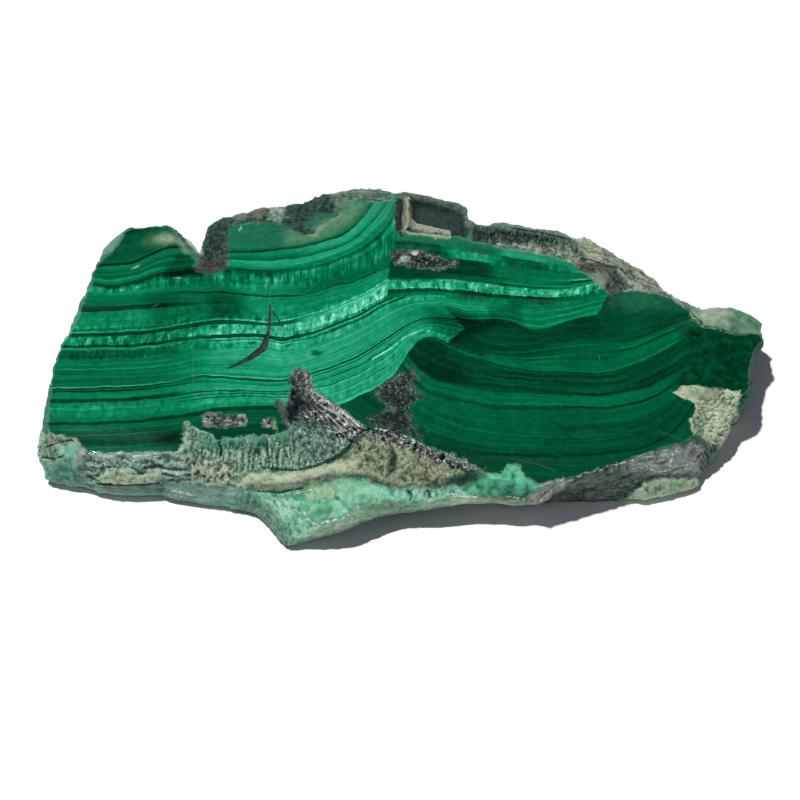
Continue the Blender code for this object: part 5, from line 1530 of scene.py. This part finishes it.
class Graph:
    """Short ways to add the nodes of a material or of the world."""

    def __init__(self, owner):
        owner.use_nodes = True
        self.tree = owner.node_tree
        self.tree.nodes.clear()

    def node(self, kind, inputs=(), **settings):
        made = self.tree.nodes.new(kind)
        for key, value in settings.items():
            setattr(made, key, value)
        for key, value in dict(inputs).items():
            self.plug(made.inputs[key], value)
        return made

    def plug(self, socket, value):
        if isinstance(value, bpy.types.NodeSocket):
            self.tree.links.new(value, socket)
        else:
            socket.default_value = value

    def math(self, operation, *values, clamp=False):
        made = self.node("ShaderNodeMath", operation=operation, use_clamp=clamp)
        for socket, value in zip(made.inputs, values):
            self.plug(socket, value)
        return made.outputs[0]

    def field(self, name, vector=False):
        made = self.node("ShaderNodeAttribute", attribute_name=name)
        return made.outputs["Vector" if vector else "Fac"]

    def step(self, value, low, high, smooth=True, to=(0.0, 1.0)):
        kind = "SMOOTHSTEP" if smooth else "LINEAR"
        inputs = {"Value": value, "From Min": low, "From Max": high, "To Min": to[0], "To Max": to[1]}
        return self.node("ShaderNodeMapRange", inputs, interpolation_type=kind, clamp=True).outputs[0]

    def blend(self, factor, a, b):
        made = self.node("ShaderNodeMix", {0: factor, 2: a, 3: b}, data_type="FLOAT", clamp_factor=True)
        return made.outputs[0]

    def tint(self, factor, a, b, blend_type="MIX"):
        made = self.node("ShaderNodeMix", {0: factor, 6: a, 7: b}, data_type="RGBA", blend_type=blend_type)
        return made.outputs[2]

    def joined(self, x, y, z=0.0):
        return self.node("ShaderNodeCombineXYZ", {0: x, 1: y, 2: z}).outputs[0]

    def noise(self, vector, scale=1.0, detail=3.0, rough=0.55):
        inputs = {"Vector": vector, "Scale": scale, "Detail": detail, "Roughness": rough}
        return self.node("ShaderNodeTexNoise", inputs).outputs["Fac"]

    def around_zero(self, vector, scale=1.0, detail=3.0, rough=0.55, half=0.5, spread=0.2):
        """Noise that runs from -half to half and reaches them this far from its middle value."""
        value = self.noise(vector, scale, detail, rough)
        return self.step(value, 0.5 - spread, 0.5 + spread, smooth=False, to=(-half, half))

    def add_up(self, *parts):
        """Sum of values, or of pairs to be multiplied first."""
        total = None
        for part in parts:
            value = self.math("MULTIPLY", *part) if isinstance(part, tuple) else part
            total = value if total is None else self.math("ADD", total, value)
        return total

    def beds(self, depth, layers, soft=0.10):
        """Tone by depth: each layer of (depth of its top, tone) runs down to the next one's top."""
        groups = []
        for layer in layers:
            if not groups or len(groups[-1]) >= BEDS_PER_RAMP or groups[-1][0][0] - layer[0] > RAMP_LENGTH:
                groups.append([groups[-1][-1]] if groups else [])
            groups[-1].append(layer)
        tone = None
        for group in groups:
            bottom = group[-1][0] - 1.0
            top = group[0][0] + (1.0 if tone is None else 0.0)
            place_in = self.step(depth, bottom, top, smooth=False)
            ramp = self.node("ShaderNodeValToRGB", {0: place_in})
            ramp.color_ramp.interpolation = "LINEAR"
            stops = [(0.0, group[-1][1])]
            for (upper, tone_above), (edge, tone_below) in reversed(list(zip(group, group[1:]))):
                stops.append(((edge - soft / 2 - bottom) / (top - bottom), tone_below))
                stops.append(((edge + soft / 2 - bottom) / (top - bottom), tone_above))
            elements = ramp.color_ramp.elements
            elements.remove(elements[0])
            elements[0].position = stops[0][0]
            elements[0].color = (stops[0][1],) * 3 + (1.0,)
            for position, value in stops[1:]:
                element = elements.new(min(max(position, 0.0), 1.0))
                element.color = (value, value, value, 1.0)
            value = self.node("ShaderNodeRGBToBW", {0: ramp.outputs[0]}).outputs[0]
            if tone is None:
                tone = value
            else:
                below = self.math("LESS_THAN", depth, (group[0][0] + group[1][0]) / 2.0)
                tone = self.blend(below, tone, value)
        return tone

    def columns(self, depth, across, beds, guides):
        """Tone from the beds listed at several x, eased from one to the next."""
        tone = None
        previous = None
        for x, layers in beds.items():
            tops = [bedding(np.array([x]), np.array([y]), guides)[0] for y, _ in layers]
            value = self.beds(depth, [(float(d), t) for d, (_, t) in zip(tops, layers)])
            if tone is None:
                tone = value
            else:
                gap = (x - previous) * 0.22
                share = self.step(across, previous + gap, x - gap)
                tone = self.blend(share, tone, value)
            previous = x
        return tone

    def ranges(self, depth, ranges, soft=0.35):
        """Amount by depth for a few ranges of (top, bottom, amount)."""
        total = None
        for top, bottom, amount in ranges:
            inside = self.math(
                "MULTIPLY", self.step(depth, bottom - soft, bottom + soft),
                self.step(depth, top - soft, top + soft, to=(amount, 0.0)),
            )
            total = inside if total is None else self.math("MAXIMUM", total, inside)
        return total


def band_colour(g, place, x, ragged, mottle):
    """Colour of the growth bands."""
    sway = g.add_up(
        g.around_zero(place, 0.28, 3.0, half=0.22, spread=0.25),
        g.around_zero(place, 1.3, 2.0, half=0.05, spread=0.25),
    )
    shifted_x = g.math("ADD", x, g.around_zero(place, 0.2, 2.0, half=2.5))
    left = g.math("ADD", g.field("left_depth"), sway)
    right = g.math("ADD", g.field("right_depth"), sway)
    bowl = g.math("ADD", g.field("basin_depth"), sway)

    left_tone = g.columns(left, shifted_x, LEFT_BEDS, LEFT_GUIDES)
    right_tone = g.columns(right, shifted_x, RIGHT_BEDS, RIGHT_GUIDES)
    bowl_tone = g.columns(bowl, shifted_x, BASIN_BEDS, BASIN_GUIDES)
    bowl_tone = g.math("MULTIPLY_ADD", bowl_tone, BASIN_CONTRAST, BASIN_LIFT)
    to_right = g.step(g.math("ADD", g.field("in_right"), ragged), -0.12, 0.12)
    to_basin = g.step(g.math("ADD", g.field("in_basin"), ragged), -0.22, 0.22)
    depth = g.blend(to_basin, g.blend(to_right, left, right), bowl)
    upright = g.blend(to_right, g.ranges(left, LEFT_FIBRES), g.ranges(right, RIGHT_FIBRES))
    upright = g.blend(to_basin, upright, 0.0)
    tone = g.blend(to_basin, g.blend(to_right, left_tone, right_tone), bowl_tone)

    # Fine layers, upright fibres and mottling inside the beds
    along_layers = g.joined(g.math("MULTIPLY", x, 0.05), g.math("MULTIPLY", depth, 1.5))
    fine = g.around_zero(along_layers, 1.0, 4.0, 0.65, half=1.0, spread=0.3)
    fibres = g.joined(g.math("MULTIPLY", x, 1.1), g.math("MULTIPLY", depth, 0.38))
    blobs = g.step(g.noise(fibres, 1.0, 4.0, 0.72), 0.36, 0.62, smooth=False, to=(-0.8, 0.9))
    clumps = g.step(g.noise(g.joined(g.math("MULTIPLY", x, 0.35), depth), 1.0, 2.0), 0.35, 0.6)
    upright = g.math("MULTIPLY", upright, g.math("MULTIPLY_ADD", clumps, 0.7, 0.3))
    cloud = g.around_zero(place, 0.13, 3.0, half=1.0)
    tone = g.add_up(
        tone, (fine, 0.10), (blobs, g.math("MULTIPLY", upright, 0.32)), (mottle, 0.06), (cloud, 0.035),
        g.field("lift"), g.step(g.math("ABSOLUTE", g.field("fold")), 0.10, 0.30, to=(0.24, 0.0)),
    )

    # Right end, where the bands fade into dark mottled green
    end_tone = g.step(g.noise(place, 0.7, 5.0, 0.7), 0.34, 0.72, smooth=False, to=(0.10, 0.38))
    tone = g.blend(g.field("right_end"), tone, end_tone)
    tone = g.add_up(tone, (g.field("spots"), -0.3))

    palette = g.node("ShaderNodeValToRGB", {0: tone})
    elements = palette.color_ramp.elements
    elements.remove(elements[0])
    elements[0].position, elements[0].color = PALETTE[0][0], opaque(PALETTE[0][1])
    for position, colour in PALETTE[1:]:
        elements.new(position).color = opaque(colour)
    colour = palette.outputs[0]

    tint_breakup = g.step(g.noise(place, 0.9, 3.0), 0.3, 0.7, to=(0.55, 1.0))
    # The sheens are painted reflections of the room; the brown lenses and the specks are the stone's own
    # colour.
    for name, tint_colour in SHEEN_AND_MARK_COLOURS.items():
        colour = g.tint(g.math("MULTIPLY", g.field(name), tint_breakup), colour, opaque(tint_colour))
    scratch = g.step(g.field("scratch"), 0.14, 0.02, to=(0.0, 0.07))
    return g.tint(scratch, colour, opaque(SCRATCH_PALE))


def rough_colour(g, place, amounts, grain, patch, streak):
    """Colour of the broken surface, and how strongly each spot glints, with pits and hollows painted darker
    as painted shade.
    """
    # Painted shade: pits and hollows darken the colour, raised spots lighten it.
    hollow = g.add_up((g.field("cavity"), 0.16), (g.field("hollow"), 0.28))
    mixed = g.add_up(
        (grain, amounts[0]), (patch, amounts[1]), (streak, amounts[2]), hollow, g.field("zone_bias"),
    )
    share = g.math("ADD", mixed, 0.5, clamp=True)
    colour = g.tint(share, g.field("zone_dark", vector=True), g.field("zone_light", vector=True))
    greener = g.step(g.noise(place, 0.5, 4.0, 0.6), 0.48, 0.66, to=(0.0, 0.75))
    colour = g.tint(greener, colour, GREENER, "MULTIPLY")
    bright = g.math(
        "MULTIPLY", g.step(g.noise(place, 3.8, 3.0, 0.6), 0.55, 0.62), g.step(hollow, -0.04, 0.2),
    )
    glint = g.math("MULTIPLY", g.field("zone_glint"), bright)
    return colour, glint


def stone_material():
    """Banded polish, the colours of the broken surface around it, and the dull underside."""
    material = bpy.data.materials.new("banded_malachite")
    g = Graph(material)
    place = g.field("place", vector=True)
    x = g.node("ShaderNodeSeparateXYZ", {0: place}).outputs[0]
    ragged = g.around_zero(place, 2.2, 3.0, half=0.22, spread=0.3)
    mottle = g.around_zero(place, 0.9, 4.0, 0.65, half=1.0, spread=0.25)
    colour = band_colour(g, place, x, ragged, mottle)
    crack_share = g.step(g.math("MULTIPLY_ADD", mottle, 0.12, g.field("crack")), 0.05, 0.35)
    crack_colour = g.tint(g.step(mottle, 0.0, 0.6), opaque(CRACK_DARK), opaque(CRACK_LIGHT))
    colour = g.tint(crack_share, colour, crack_colour)

    grain = g.around_zero(place, 4.4, 5.0, 0.80, half=0.62, spread=0.17)
    patch = g.around_zero(place, 0.55, 7.0, 0.66)
    streak = g.around_zero(g.field("streak_place", vector=True), 1.0, 4.0, 0.68)
    amounts = g.node("ShaderNodeSeparateXYZ", {0: g.field("zone_mix", vector=True)}).outputs
    stone, glint = rough_colour(g, place, amounts, grain, patch, streak)
    banded = g.math("MULTIPLY", g.field("zone_banded"), g.step(patch, -0.5, 0.2, to=(1.0, 0.75)))
    stone = g.tint(banded, stone, colour)
    dark_gap = g.math("MULTIPLY_ADD", ragged, 0.9, g.field("dark_line"))
    stone = g.tint(g.step(dark_gap, 0.22, -0.04, to=(0.0, 0.85)), stone, opaque(LINE_DARK))
    # White lines: pale chips and streaks, partly painted highlights along edges.
    breaks = g.step(g.noise(place, 1.7, 3.0), 0.42, 0.54)
    white_gap = g.math("MULTIPLY_ADD", ragged, 0.9, g.field("white_line"))
    white_line = g.math("MULTIPLY", g.step(white_gap, 0.10, -0.04, to=(0.0, 0.85)), breaks)
    stone = g.tint(white_line, stone, opaque(LINE_WHITE))
    stone = g.tint(glint, stone, opaque(GLINT_WHITE))
    # Sparks paint white glints of crystals: painted highlights.
    stone = g.tint(g.field("sparks"), stone, opaque(SPARK_WHITE))
    dot_share = g.step(g.math("MULTIPLY_ADD", ragged, 0.6, g.field("green_dot")), 0.0, 0.3, to=(0.0, 0.8))
    stone = g.tint(dot_share, stone, opaque(DOT_GREEN))

    # Where the broken surface shows: outside the polish, and in hollows that reach into it
    inside = g.math("MULTIPLY_ADD", ragged, 0.3, g.field("inside_face"))
    broken = g.step(inside, 0.06, -0.02)
    over = g.step(g.add_up(g.field("covered"), (grain, 0.5), (patch, 0.45)), 0.40, 0.62)
    over = g.math("MULTIPLY", over, g.step(g.field("sawn"), 0.5, 0.0))
    # Raised spots along the polish's edge turn paler green: partly wear of its chips, partly painted
    # highlight where the edges catch the light.
    rubbed_and_lit_edge = g.math("MULTIPLY", g.step(g.field("inside_face"), 0.30, 0.0), g.step(g.field("cavity"), 0.1, 0.6))
    colour = g.tint(g.math("MULTIPLY", rubbed_and_lit_edge, 0.25), colour, opaque(RUBBED_AND_LIT_GREEN))
    broken = g.math("MAXIMUM", broken, over)
    colour = g.tint(broken, colour, stone)
    dull = g.math("MULTIPLY", g.field("sawn"), 0.35)
    colour = g.tint(dull, colour, opaque(SAWN_GREEN))

    rough_gloss = g.math("MULTIPLY_ADD", grain, 0.3, g.field("zone_gloss"), clamp=True)
    rough = g.blend(broken, POLISH_ROUGHNESS, rough_gloss)
    rough = g.blend(glint, rough, GLINT_ROUGHNESS)
    rough = g.blend(crack_share, rough, CRACK_ROUGHNESS)
    rough = g.blend(g.field("sawn"), rough, SAWN_ROUGHNESS)
    height = g.add_up(
        (grain, g.math("MULTIPLY", amounts[0], 0.08)), (streak, g.math("MULTIPLY", amounts[2], 0.06)),
    )
    height = g.math("MULTIPLY", g.math("MULTIPLY", height, broken), MM)
    bump = g.node("ShaderNodeBump", {"Height": height, "Strength": 0.8, "Distance": 1.0})
    shader = g.node("ShaderNodeBsdfPrincipled", {
        "Base Color": colour, "Roughness": rough, "Normal": bump.outputs[0], "Specular IOR Level": 0.32,
    })
    g.node("ShaderNodeOutputMaterial", {"Surface": shader.outputs[0]})
    return material


mesh.materials.append(stone_material())


# Floor, light and camera
def floor_material():
    material = bpy.data.materials.new("pale_floor")
    g = Graph(material)
    where = g.node("ShaderNodeTexCoord").outputs["Object"]
    colour = g.tint(g.noise(where, 9.0, 2.0), opaque(FLOOR_GREY), opaque(FLOOR_WHITE))
    settings = {"Base Color": colour, "Roughness": 0.9, "Specular IOR Level": 0.1}
    shader = g.node("ShaderNodeBsdfPrincipled", settings)
    g.node("ShaderNodeOutputMaterial", {"Surface": shader.outputs[0]})
    return material


FLOOR_HALF = 2.0
floor_mesh = bpy.data.meshes.new("floor")
corners = [(-1, -1), (1, -1), (1, 1), (-1, 1)]
floor_mesh.from_pydata([(FLOOR_HALF * a, FLOOR_HALF * b, 0.0) for a, b in corners], [], [(0, 1, 2, 3)])
floor_mesh.materials.append(floor_material())
floor = add_object("floor", floor_mesh)

SUN_DIRECTION = Vector((-0.35, 0.27, 1.0)).normalized()
SUN_STRENGTH = 3.3
SUN_WIDTH = math.radians(3.0)
sun_data = bpy.data.lights.new("window_light", "SUN")
sun_data.energy = SUN_STRENGTH
sun_data.angle = SUN_WIDTH
sun = add_object("window_light", sun_data)
sun.rotation_euler = SUN_DIRECTION.to_track_quat("Z", "Y").to_euler()

# Soft room light, dimmer behind the stone where the polished face mirrors it to the camera
ROOM = (0.136, 0.141, 0.168)
DIM_ROOM = (0.012, 0.013, 0.015)
MIRRORED = (0.0, math.cos(ELEVATION), math.sin(ELEVATION))
DIM_START, DIM_FULL = 0.70, 0.93
world = bpy.data.worlds.new("room")
bpy.context.scene.world = world
room = Graph(world)
direction = room.node("ShaderNodeTexCoord").outputs["Generated"]
towards = room.node("ShaderNodeVectorMath", {0: direction, 1: MIRRORED}, operation="DOT_PRODUCT")
dimming = room.step(towards.outputs["Value"], DIM_START, DIM_FULL)
background = room.node("ShaderNodeBackground", {"Color": room.tint(dimming, (*ROOM, 1.0), (*DIM_ROOM, 1.0))})
room.node("ShaderNodeOutputWorld", {"Surface": background.outputs[0]})

camera_data = bpy.data.cameras.new("camera")
camera_data.lens = LENS
camera_data.sensor_width = SENSOR
camera_data.clip_start = 0.01
camera_data.clip_end = 20.0
camera = add_object("camera", camera_data)
camera.location = Vector((EYE - MIDDLE) * MM)
camera.rotation_euler = (math.pi / 2 - ELEVATION, 0.0, 0.0)
bpy.context.scene.camera = camera
bpy.context.scene.view_settings.view_transform = "Standard"

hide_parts("malachite_stone")
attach(slab, "root")

print("slab triangles:", len(tris), "vertices:", len(points))
